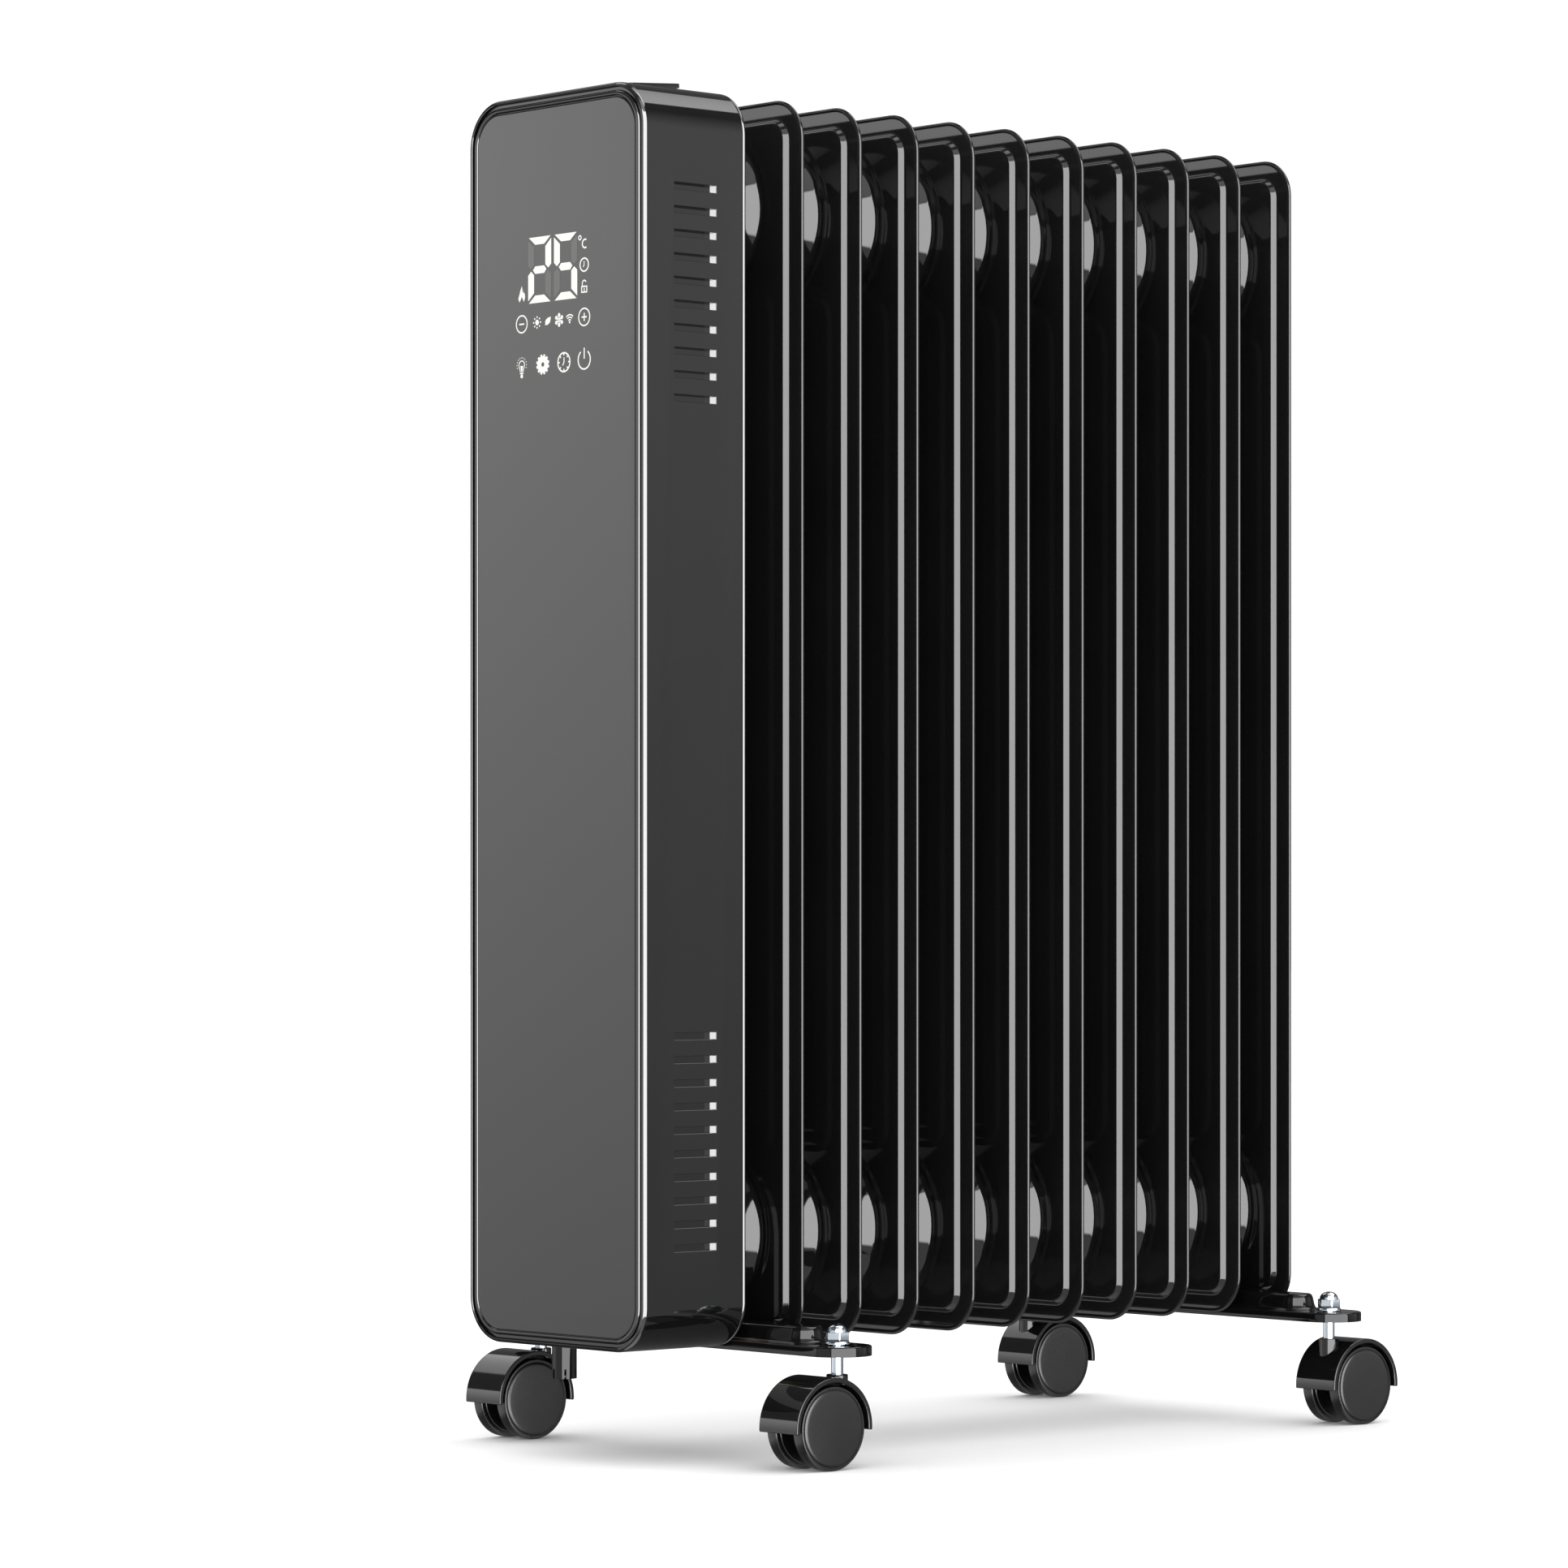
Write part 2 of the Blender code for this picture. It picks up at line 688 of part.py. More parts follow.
def inlet_body(name, radius):
    """The straight barrel of the cord inlet, through the left side of the shell."""
    x = -BODY_WIDTH / 2 + SHELL_WALL / 2
    return rod(name, radius, 5 * SHELL_WALL, (x, y_at(INLET_DEPTH), INLET_Z), "X")


def cord_inlet():
    """Bush that the mains cord enters through, low on the left side."""
    outer = BODY_WIDTH / 2 + TOUCH_GAP
    collar = outer + INLET_COLLAR_HEIGHT
    inner = BODY_WIDTH / 2 - SHELL_WALL - 0.003
    item = turned(
        "cord_inlet",
        [
            (INLET_BORE, collar),
            (INLET_COLLAR_RADIUS, collar),
            (INLET_COLLAR_RADIUS, outer),
            (INLET_RADIUS, outer),
            (INLET_RADIUS, inner),
            (INLET_BORE, inner),
        ],
        "-X",
        (0.0, y_at(INLET_DEPTH), INLET_Z),
        ring=True,
    )
    return dress(item, lambda name: finish(name, (0.02, 0.02, 0.02), 0.5, 0.0))


def front_bezel():
    """Frame between the shell and the glass, with the seat that the glass rests on."""
    seat = GLASS_BACK + TOUCH_GAP
    lip = BEZEL_INSET + BEZEL_LIP
    profile = [
        (BEZEL_INSET, BEZEL_DEPTH),
        (lip + BEZEL_SEAT, BEZEL_DEPTH),
        (lip + BEZEL_SEAT, seat),
        (lip, seat),
        (lip, 0.0006),
        (lip - 0.0006, 0.0),
        (BEZEL_INSET + 0.0006, 0.0),
        (BEZEL_INSET, 0.0006),
    ]
    item = loft(
        "front_bezel",
        upright_rings(BODY_WIDTH, BODY_HEIGHT, BOX_CORNER, BOX_CORNER_STEPS, profile, BODY_MIDDLE),
        closed=True,
    )
    return dress(item, black_plastic)


def glass_panel():
    """Tempered glass front that the touch controls lie behind."""
    profile = [(GLASS_INSET, TOUCH_GAP), (GLASS_INSET, GLASS_BACK)]
    item = loft(
        "glass_panel",
        upright_rings(BODY_WIDTH, BODY_HEIGHT, BOX_CORNER, BOX_CORNER_STEPS, profile, BODY_MIDDLE),
        closed=False,
    )
    return dress(item, lambda name: finish(name, (0.05, 0.05, 0.052), 0.08, 0.0))


def back_plate():
    """Closes the box towards the fins, with a hole for the stud and a window for the element."""
    outline = rounded_outline(BODY_WIDTH, BODY_HEIGHT, BOX_CORNER, BOX_CORNER_STEPS)
    stud_hole = circle(STUD_RADIUS + HOLE_GAP, (0.0, UPPER_HUB_Z - BODY_MIDDLE))
    window = circle(ELEMENT_WINDOW_RADIUS, (0.0, LOWER_HUB_Z - BODY_MIDDLE))
    centre = (0.0, y_at(BACK_PLATE_FRONT + BACK_PLATE_THICKNESS / 2), BODY_MIDDLE)
    item = flat_plate(
        "back_plate", [outline, stud_hole, window], centre, BACK_PLATE_THICKNESS, upright=True
    )
    return dress(item, black_enamel)


def top_cover():
    """Shallow wedge on top of the box that rises towards the back."""
    front = y_at(COVER_DEPTH_FRONT)
    rear = y_at(COVER_DEPTH_REAR)
    floor = BODY_TOP + TOUCH_GAP
    middle = (front + rear) / 2
    item = box("top_cover", (COVER_WIDTH, rear - front, COVER_REAR_HEIGHT), (0.0, 0.0, 0.0))
    for vertex in item.data.vertices:
        if vertex.co.z > 0 and vertex.co.y < 0:
            vertex.co.z = COVER_FRONT_HEIGHT - COVER_REAR_HEIGHT / 2
    item.location = (0.0, middle, floor + COVER_REAR_HEIGHT / 2)
    return dress(item, black_plastic)


def display_module():
    """Lit seven-segment and symbol display block behind the glass."""
    depth = GLASS_BACK + TOUCH_GAP + DISPLAY_THICKNESS / 2
    size = (DISPLAY_WIDTH, DISPLAY_THICKNESS, DISPLAY_HEIGHT)
    item = box("display_module", size, (0.0, y_at(depth), BODY_TOP - DISPLAY_FROM_TOP))
    return dress(item, lambda name: finish(name, (0.8, 0.8, 0.78), 0.5, 0.0))


def display_board():
    """Touch and display circuit board."""
    front = GLASS_BACK + DISPLAY_THICKNESS + 2 * TOUCH_GAP
    size = (TOUCH_BOARD_WIDTH, BOARD_THICKNESS, TOUCH_BOARD_HEIGHT)
    centre = (0.0, y_at(front + BOARD_THICKNESS / 2), BODY_TOP - DISPLAY_FROM_TOP)
    item = box("display_board", size, centre)
    return dress(item, circuit_board)


def power_board():
    """Power board with its relays, transformer and capacitor, on four standoffs."""
    rear = BACK_PLATE_FRONT - TOUCH_GAP
    board_rear = rear - STANDOFF_LENGTH
    board_front = board_rear - BOARD_THICKNESS
    centre_z = BODY_MIDDLE
    item = box(
        "power_board",
        (POWER_BOARD_WIDTH, BOARD_THICKNESS, POWER_BOARD_HEIGHT),
        (0.0, y_at((board_front + board_rear) / 2), centre_z),
    )
    for side_x in (-1, 1):
        for side_z in (-1, 1):
            post = rod(
                f"standoff_{side_x}_{side_z}",
                STANDOFF_RADIUS,
                STANDOFF_LENGTH + BOARD_THICKNESS / 2,
                (
                    side_x * (POWER_BOARD_WIDTH / 2 - 2 * STANDOFF_RADIUS),
                    y_at(rear - (STANDOFF_LENGTH + BOARD_THICKNESS / 2) / 2),
                    centre_z + side_z * (POWER_BOARD_HEIGHT / 2 - 2 * STANDOFF_RADIUS),
                ),
                "Y",
                steps=8,
            )
            shape_by(item, post, "UNION")
    for name, x, z, width, depth, height in (
        ("relay_left", -0.022, -0.045, 0.019, 0.015, 0.016),
        ("relay_right", 0.008, -0.045, 0.019, 0.015, 0.016),
        ("transformer", -0.015, 0.030, 0.028, 0.022, 0.024),
        ("capacitor", 0.025, 0.020, 0.014, 0.020, 0.014),
    ):
        block = box(
            name,
            (width, depth + BOARD_THICKNESS / 2, height),
            (x, y_at(board_front + BOARD_THICKNESS / 4 - depth / 2), centre_z + z),
        )
        shape_by(item, block, "UNION")
    return dress(item, circuit_board)


def terminal_block():
    """Screw terminals for the mains leads, on the back plate near the cord inlet."""
    rear = BACK_PLATE_FRONT - TOUCH_GAP
    size = (0.030, 0.016, 0.014)
    centre_z = BODY_BOTTOM + HUB_MARGIN + 0.055
    item = box("terminal_block", size, (-0.030, y_at(rear - size[1] / 2), centre_z))
    for index in range(3):
        hole = rod(
            f"terminal_{index}",
            0.0022,
            size[2] + 2 * CUT_OVER,
            (-0.030 + (index - 1) * 0.009, y_at(rear - size[1] / 2), centre_z),
            "Z",
            steps=10,
        )
        shape_by(item, hole)
    return dress(item, lambda name: finish(name, (0.75, 0.73, 0.68), 0.5, 0.0))


def tip_over_switch():
    """Sealed tilt switch on the floor of the box: it opens when the heater falls over."""
    size = (0.022, 0.014, 0.018)
    floor = SHELL_FLOOR + TOUCH_GAP
    item = box("tip_over_switch", size, (0.018, y_at(BOX_DEPTH / 2), floor + size[2] / 2))
    plunger_case = rod(
        "tip_over_barrel", 0.005, 0.010, (0.018, y_at(BOX_DEPTH / 2), floor + size[2] + 0.004), "Z"
    )
    shape_by(item, plunger_case, "UNION")
    return dress(item, lambda name: finish(name, (0.03, 0.03, 0.03), 0.4, 0.0))


def sensor_cage():
    """Castellated tube under the box that lets room air reach the temperature sensor."""
    low = BODY_BOTTOM - CAGE_REACH
    flange_low = SHELL_FLOOR + TOUCH_GAP
    flange_high = flange_low + CAGE_FLANGE_HEIGHT
    bore = CAGE_RADIUS - CAGE_WALL
    item = turned(
        "sensor_cage",
        [
            (bore, flange_high),
            (CAGE_FLANGE_RADIUS, flange_high),
            (CAGE_FLANGE_RADIUS, flange_low),
            (CAGE_RADIUS, flange_low),
            (CAGE_RADIUS, low),
            (bore, low),
        ],
        "Z",
        (CAGE_X, y_at(CAGE_DEPTH), 0.0),
        ring=True,
    )
    bm = bmesh.new()
    for index in range(CAGE_SLOTS // 2):
        made = bmesh.ops.create_cube(bm, size=1.0)["verts"]
        size = (4 * CAGE_RADIUS, CAGE_SLOT_WIDTH, 2 * CAGE_SLOT_HEIGHT)
        bmesh.ops.scale(bm, vec=size, verts=made)
        turn = Matrix.Rotation(math.pi * (index + 0.5) / (CAGE_SLOTS / 2), 3, "Z")
        bmesh.ops.rotate(bm, cent=(0.0, 0.0, 0.0), matrix=turn, verts=made)
    slots = mesh_object("cage_slots", bm)
    slots.location = (CAGE_X, y_at(CAGE_DEPTH), low)
    shape_by(item, slots)
    return dress(item, black_plastic)


def room_sensor():
    """Thermistor bead inside the cage."""
    low = BODY_BOTTOM - CAGE_REACH + 0.003
    item = turned(
        "room_sensor",
        [
            (0.0, low + 0.022),
            (0.0012, low + 0.022),
            (0.0012, low + 0.005),
            (0.0022, low + 0.0035),
            (0.0022, low + 0.0015),
            (0.0, low),
        ],
        "Z",
        (CAGE_X, y_at(CAGE_DEPTH), 0.0),
        steps=12,
    )
    return dress(item, lambda name: finish(name, (0.05, 0.05, 0.05), 0.3, 0.0))


# Foot bars and their clamps


def lying_stadium(name, half_length, half_width, depth, low, high):
    """A slot-shaped block with a vertical side."""
    outline = stadium_outline(half_length, half_width, BAR_END_STEPS)
    rings = [[(x, y_at(depth) + y, z) for x, y in outline] for z in (low, high)]
    return loft(name, rings, closed=False)


def foot_bar(name, depth):
    """Pressed channel with a turned-down rim and a raised rib, hollow underneath."""
    half_length = STEM_SPACING / 2 + BAR_HALF_WIDTH
    rib_half_length = STEM_SPACING / 2 - RIB_END
    bar = lying_stadium(name, half_length, BAR_HALF_WIDTH, depth, BAR_BOTTOM, BAR_TOP)
    rib = lying_stadium(
        f"{name}_rib", rib_half_length, RIB_HALF_WIDTH, depth, BAR_TOP - BAR_SHEET / 2, RIB_TOP
    )
    shape_by(bar, rib, "UNION")
    under = lying_stadium(
        f"{name}_under",
        half_length - BAR_SHEET,
        BAR_HALF_WIDTH - BAR_SHEET,
        depth,
        BAR_BOTTOM - CUT_OVER,
        BAR_TOP - BAR_SHEET,
    )
    shape_by(bar, under)
    channel = lying_stadium(
        f"{name}_channel",
        rib_half_length - BAR_SHEET,
        RIB_HALF_WIDTH - BAR_SHEET,
        depth,
        BAR_BOTTOM - CUT_OVER,
        RIB_TOP - BAR_SHEET,
    )
    shape_by(bar, channel)
    for side in (-1, 1):
        stem_hole = rod(
            f"{name}_stem_hole_{side}",
            STEM_RADIUS + HOLE_GAP,
            4 * BAR_SHEET,
            (side * STEM_SPACING / 2, y_at(depth), BAR_TOP),
            "Z",
        )
        shape_by(bar, stem_hole)
        leg_hole = rod(
            f"{name}_leg_hole_{side}",
            U_BOLT_RADIUS + HOLE_GAP,
            4 * BAR_SHEET,
            (side * U_BOLT_HALF_SPACING, y_at(depth), RIB_TOP),
            "Z",
        )
        shape_by(bar, leg_hole)
    return dress(bar, black_enamel)


def u_bolt(name, depth):
    """Steel loop over the lower hubs that pulls a foot bar up against the fins."""
    low = U_NUT_TOP - U_NUT_HEIGHT - U_BOLT_TAIL
    y = y_at(depth)
    points = [(-U_BOLT_HALF_SPACING, y, low)]
    for step in range(13):
        angle = math.pi * step / 12
        x = -U_BOLT_HALF_SPACING * math.cos(angle)
        points.append((x, y, LOWER_HUB_Z + U_BOLT_HALF_SPACING * math.sin(angle)))
    points.append((U_BOLT_HALF_SPACING, y, low))
    return dress(tube(name, points, U_BOLT_RADIUS), black_enamel)


def hex_nut(name, across_corners, height, bore, place):
    """A plain hexagon nut standing on a place."""
    hexagon = circle(across_corners / 2, steps=6)
    hole = circle(bore, steps=12)
    centre = (place[0], place[1], place[2] + height / 2)
    item = flat_plate(name, [hexagon, hole], centre, height, upright=False)
    return dress(item, zinc)


def cap_nut(name, x, depth):
    """Domed nut that holds a caster's stem on its foot bar."""
    floor = BAR_TOP + TOUCH_GAP
    seat = CAP_NUT_FLANGE_HEIGHT
    dome = seat + CAP_NUT_HEX_HEIGHT
    top = dome + CAP_NUT_DOME_HEIGHT
    hexagon = CAP_NUT_ACROSS_CORNERS / 2
    item = turned(
        name,
        [
            (0.0, top),
            (0.6 * hexagon, dome + 0.75 * CAP_NUT_DOME_HEIGHT),
            (0.9 * hexagon, dome),
            (hexagon, dome - 0.0004),
            (hexagon, seat + 0.0004),
            (CAP_NUT_FLANGE_RADIUS, seat),
            (CAP_NUT_FLANGE_RADIUS, 0.0),
            (0.0, 0.0),
        ],
        "Z",
        (x, y_at(depth), floor),
        steps=12,
    )
    bore_height = top - CAP_NUT_ROOF
    bore = rod(
        f"{name}_bore",
        STEM_RADIUS + HOLE_GAP,
        bore_height + CUT_OVER,
        (x, y_at(depth), floor + (bore_height - CUT_OVER) / 2),
        "Z",
    )
    shape_by(item, bore)
    return dress(item, zinc)


# Casters


def caster_stem(name, x, depth):
    """Steel stem, fixed to the foot bar, that the caster swivels on."""
    top = BAR_TOP + CAP_NUT_FLANGE_HEIGHT + CAP_NUT_HEX_HEIGHT
    chamfer = 0.0005
    item = turned(
        name,
        [
            (0.0, top),
            (STEM_RADIUS - chamfer, top),
            (STEM_RADIUS, top - chamfer),
            (STEM_RADIUS, STEM_FLOOR),
            (0.0, STEM_FLOOR),
        ],
        "Z",
        (x, y_at(depth), 0.0),
    )
    return dress(item, zinc, smooth=False)


def arch(name, radius, width, low=0.0):
    """A half disc that stands on the axle's height, across the caster."""
    steps = 12
    outline = [
        (radius * math.cos(math.pi * step / steps), radius * math.sin(math.pi * step / steps))
        for step in range(steps + 1)
    ]
    if low < 0:
        outline = outline + [(-radius, low), (radius, low)]
    rings = [[(x, y, z) for y, z in outline] for x in (-width / 2, width / 2)]
    return loft(name, rings, closed=False)


def caster_hood(name, x, depth, trail):
    """Arched hood over the wheels, with the web that holds the axle and the stem's socket. Its
    origin is on the swivel axis."""
    axis = (x, y_at(depth), 0.0)
    axle = (x, y_at(depth + trail), AXLE_Z)
    hood = arch(name, HOOD_RADIUS, CASTER_WIDTH)
    hood.location = axle
    for side in (-1, 1):
        room = arch(
            f"{name}_room_{side}", HOOD_RADIUS - HOOD_WALL, CASTER_WIDTH, low=-CUT_OVER
        )
        shift = side * (CASTER_WIDTH + WEB_THICKNESS) / 2
        room.location = (axle[0] + shift, axle[1], axle[2])
        shape_by(hood, room)
    web = loft(
        f"{name}_web",
        [
            [
                (side * WEB_THICKNESS / 2, y, z)
                for y, z in (
                    (-0.75 * WHEEL_RADIUS, 0.001),
                    (-2.2 * AXLE_RADIUS, -0.55 * WHEEL_RADIUS),
                    (2.2 * AXLE_RADIUS, -0.55 * WHEEL_RADIUS),
                    (0.75 * WHEEL_RADIUS, 0.001),
                )
            ]
            for side in (-1, 1)
        ],
        closed=False,
    )
    web.location = axle
    shape_by(hood, web, "UNION")
    socket_low = STEM_FLOOR - 0.003
    socket = rod(
        f"{name}_socket",
        SOCKET_RADIUS,
        SOCKET_TOP - socket_low,
        (x, y_at(depth), (SOCKET_TOP + socket_low) / 2),
        "Z",
    )
    shape_by(hood, socket, "UNION")
    bore_low = STEM_FLOOR - TOUCH_GAP
    bore = rod(
        f"{name}_socket_bore",
        STEM_RADIUS + RUNNING_GAP,
        SOCKET_TOP - bore_low + CUT_OVER,
        (x, y_at(depth), (SOCKET_TOP + CUT_OVER + bore_low) / 2),
        "Z",
    )
    shape_by(hood, bore)
    axle_bore = rod(
        f"{name}_axle_bore", AXLE_RADIUS + HOLE_GAP, WEB_THICKNESS + 2 * CUT_OVER, axle, "X"
    )
    shape_by(hood, axle_bore)
    move_origin(hood, axis)
    return dress(hood, black_plastic)


def move_origin(item, place):
    """Puts an object's origin at a world place without moving its shape."""
    shift = [old - new for old, new in zip(item.location, place)]
    item.data.transform(Matrix.Translation(shift))
    item.location = place


def caster_axle(name, x, depth, trail):
    """Steel pin through the web and both wheels."""
    length = CASTER_WIDTH - 2 * AXLE_ROOF
    item = rod(name, AXLE_RADIUS, length, (0.0, 0.0, 0.0), "X")
    item.location = (x, y_at(depth + trail), AXLE_Z)
    return dress(item, zinc)


def wheel(name, x, depth, trail, side):
    """Solid wheel with a closed, slightly crowned outer face and a blind bore."""
    outer = CASTER_WIDTH / 2
    inner = WHEEL_GAP / 2
    bore_end = outer - AXLE_ROOF + AXLE_END_PLAY
    bore = AXLE_RADIUS + RUNNING_GAP
    rim = outer - WHEEL_CROWN
    item = turned(
        name,
        [
            (0.0, outer),
            (0.55 * WHEEL_RADIUS, outer - 0.25 * WHEEL_CROWN),
            (WHEEL_RADIUS - WHEEL_EDGE, rim),
            (WHEEL_RADIUS, rim - WHEEL_EDGE),
            (WHEEL_RADIUS, inner + WHEEL_EDGE / 2),
            (WHEEL_RADIUS - WHEEL_EDGE / 2, inner),
            (bore, inner),
            (bore, bore_end),
            (0.0, bore_end),
        ],
        "X" if side > 0 else "-X",
        (x, y_at(depth + trail), AXLE_Z),
        steps=STEP_COUNT_WHEEL,
    )
    return dress(item, black_plastic)


def caster(place, x, depth, trail):
    """One twin-wheel caster with its stem and nut."""
    caster_stem(f"caster_stem_{place}", x, depth)
    cap_nut(f"cap_nut_{place}", x, depth)
    hood = caster_hood(f"caster_hood_{place}", x, depth, trail)
    axle_at = (x, y_at(depth + trail), AXLE_Z)
    hang_on(caster_axle(f"caster_axle_{place}", x, depth, trail), hood, axle_at)
    for side_name, side in (("left", -1), ("right", 1)):
        item = wheel(f"wheel_{place}_{side_name}", x, depth, trail, side)
        hang_on(item, hood, axle_at)


def foot(place, depth, trail):
    """A foot bar with its clamp and its pair of casters."""
    foot_bar(f"foot_bar_{place}", depth)
    u_bolt(f"u_bolt_{place}", depth)
    for side_name, side in (("left", -1), ("right", 1)):
        nut_place = (side * U_BOLT_HALF_SPACING, y_at(depth), U_NUT_TOP - U_NUT_HEIGHT)
        hex_nut(
            f"u_bolt_nut_{place}_{side_name}",
            U_NUT_ACROSS_CORNERS,
            U_NUT_HEIGHT,
            U_BOLT_RADIUS + HOLE_GAP,
            nut_place,
        )
        caster(f"{place}_{side_name}", side * STEM_SPACING / 2, depth, trail)


def main():
    for index in range(FIN_COUNT):
        fin(index)
    heating_element()
    element_flange()
    oil_filler_plug()
    thermal_cutout()
    mounting_stud()
    housing_shell()
    front_bezel()
    glass_panel()
    back_plate()
    top_cover()
    display_module()
    display_board()
    power_board()
    terminal_block()
    tip_over_switch()
    sensor_cage()
    room_sensor()
    cord_inlet()
    foot("front", FRONT_BAR_DEPTH, -TRAIL)
    foot("rear", REAR_BAR_DEPTH, TRAIL)


main()
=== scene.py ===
"""Oil filled radiator heater: the finished look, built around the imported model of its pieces.

The glass front faces -Y, the fins are stacked behind it along +Y, and the floor is z = 0. Lengths
are in metres. A depth is measured backwards from the glass front.
"""

import json
import logging
import math
from collections.abc import Callable, Iterable, Sequence
from dataclasses import dataclass
from enum import Enum
from typing import ClassVar

import bmesh
import bpy
from bmesh.types import BMesh, BMFace
from bpy.types import Material, Object
from mathutils import Matrix, Vector


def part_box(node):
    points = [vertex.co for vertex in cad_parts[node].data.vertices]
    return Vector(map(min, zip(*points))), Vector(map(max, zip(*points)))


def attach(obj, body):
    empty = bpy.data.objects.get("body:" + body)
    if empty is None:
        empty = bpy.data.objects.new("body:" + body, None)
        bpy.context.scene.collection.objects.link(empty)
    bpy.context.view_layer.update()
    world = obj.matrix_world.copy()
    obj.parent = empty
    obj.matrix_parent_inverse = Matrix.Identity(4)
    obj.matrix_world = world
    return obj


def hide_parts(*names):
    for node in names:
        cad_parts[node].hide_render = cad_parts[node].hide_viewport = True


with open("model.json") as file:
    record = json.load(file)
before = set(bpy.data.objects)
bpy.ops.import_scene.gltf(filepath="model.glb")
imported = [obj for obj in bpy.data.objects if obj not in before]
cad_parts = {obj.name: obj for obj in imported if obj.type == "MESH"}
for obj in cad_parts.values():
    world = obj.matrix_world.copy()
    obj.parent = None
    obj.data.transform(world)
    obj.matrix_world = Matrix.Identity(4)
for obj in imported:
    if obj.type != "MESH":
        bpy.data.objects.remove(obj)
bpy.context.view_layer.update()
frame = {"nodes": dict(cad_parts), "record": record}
log = logging.getLogger("radiator_heater")

MM = 0.001
MOTTLE = 0.04                  # scale of a finish's mottling, next to that of its grain
MERGE = 1e-7                   # points closer than this are one
# The roundings picked out by these two take a more reflective copy of a finish on the right and a less
# reflective one elsewhere: painted highlight and painted shade.
ROUNDING = (-0.985, -0.10)     # y of the normals between a plate's front and its sides
TOWARDS_RIGHT = 0.05           # least x of the normals of a right side
ROOT = "radiator"
Profile = Sequence[tuple[float, float]]


class Side(Enum):
    """A side of the heater, as seen from its front."""

    LEFT = -1
    RIGHT = 1


class End(Enum):
    """An end of the heater, along Y."""

    FRONT = -1
    REAR = 1


@dataclass(frozen=True)
class Finish:
    """One surface finish, made as a node material.

    The grain is the size of the surface's finest unevenness, and the relief is its height.
    """

    name: str
    colour: tuple[float, float, float]
    roughness: float
    metallic: float = 0.0
    specular: float = 0.5
    grain: float = 0.002
    relief: float = 0.0
    spread: float = 0.25
    glow: float = 0.0

    def material(self) -> Material:
        """Makes the material.

        Returns:
            A Principled material with mottled colour, uneven gloss and a fine relief.
        """
        made = bpy.data.materials.new(self.name)
        made.use_nodes = True
        nodes = made.node_tree.nodes
        links = made.node_tree.links
        shader = nodes["Principled BSDF"]
        shader.inputs["Metallic"].default_value = self.metallic
        shader.inputs["Specular IOR Level"].default_value = self.specular
        place = nodes.new("ShaderNodeTexCoord")
        coarse = nodes.new("ShaderNodeTexNoise")
        coarse.inputs["Scale"].default_value = MOTTLE / self.grain
        coarse.inputs["Detail"].default_value = 2.0
        links.new(place.outputs["Object"], coarse.inputs["Vector"])
        tint = nodes.new("ShaderNodeValToRGB")
        tint.color_ramp.elements[0].position = 0.3
        tint.color_ramp.elements[1].position = 0.7
        for element, share in zip(tint.color_ramp.elements, (1 - self.spread, 1 + self.spread)):
            element.color = (*(min(1.0, part * share) for part in self.colour), 1.0)
        links.new(coarse.outputs["Fac"], tint.inputs["Fac"])
        links.new(tint.outputs["Color"], shader.inputs["Base Color"])
        gloss = nodes.new("ShaderNodeMapRange")
        gloss.inputs["To Min"].default_value = self.roughness * (1 - self.spread)
        gloss.inputs["To Max"].default_value = self.roughness * (1 + self.spread)
        links.new(coarse.outputs["Fac"], gloss.inputs["Value"])
        links.new(gloss.outputs["Result"], shader.inputs["Roughness"])
        if self.relief:
            fine = nodes.new("ShaderNodeTexNoise")
            fine.inputs["Scale"].default_value = 1 / self.grain
            fine.inputs["Detail"].default_value = 1.0
            bump = nodes.new("ShaderNodeBump")
            bump.inputs["Distance"].default_value = self.relief
            bump.inputs["Strength"].default_value = 1.0
            links.new(place.outputs["Object"], fine.inputs["Vector"])
            links.new(fine.outputs["Fac"], bump.inputs["Height"])
            links.new(bump.outputs["Normal"], shader.inputs["Normal"])
        # A glow is light the surface gives off. For the display's symbols it is their light; for the
        # vent ends it is painted light.
        if self.glow:
            links.remove(shader.inputs["Base Color"].links[0])
            shader.inputs["Base Color"].default_value = (0.02, 0.02, 0.02, 1.0)
            links.new(tint.outputs["Color"], shader.inputs["Emission Color"])
            shader.inputs["Emission Strength"].default_value = self.glow
        return made


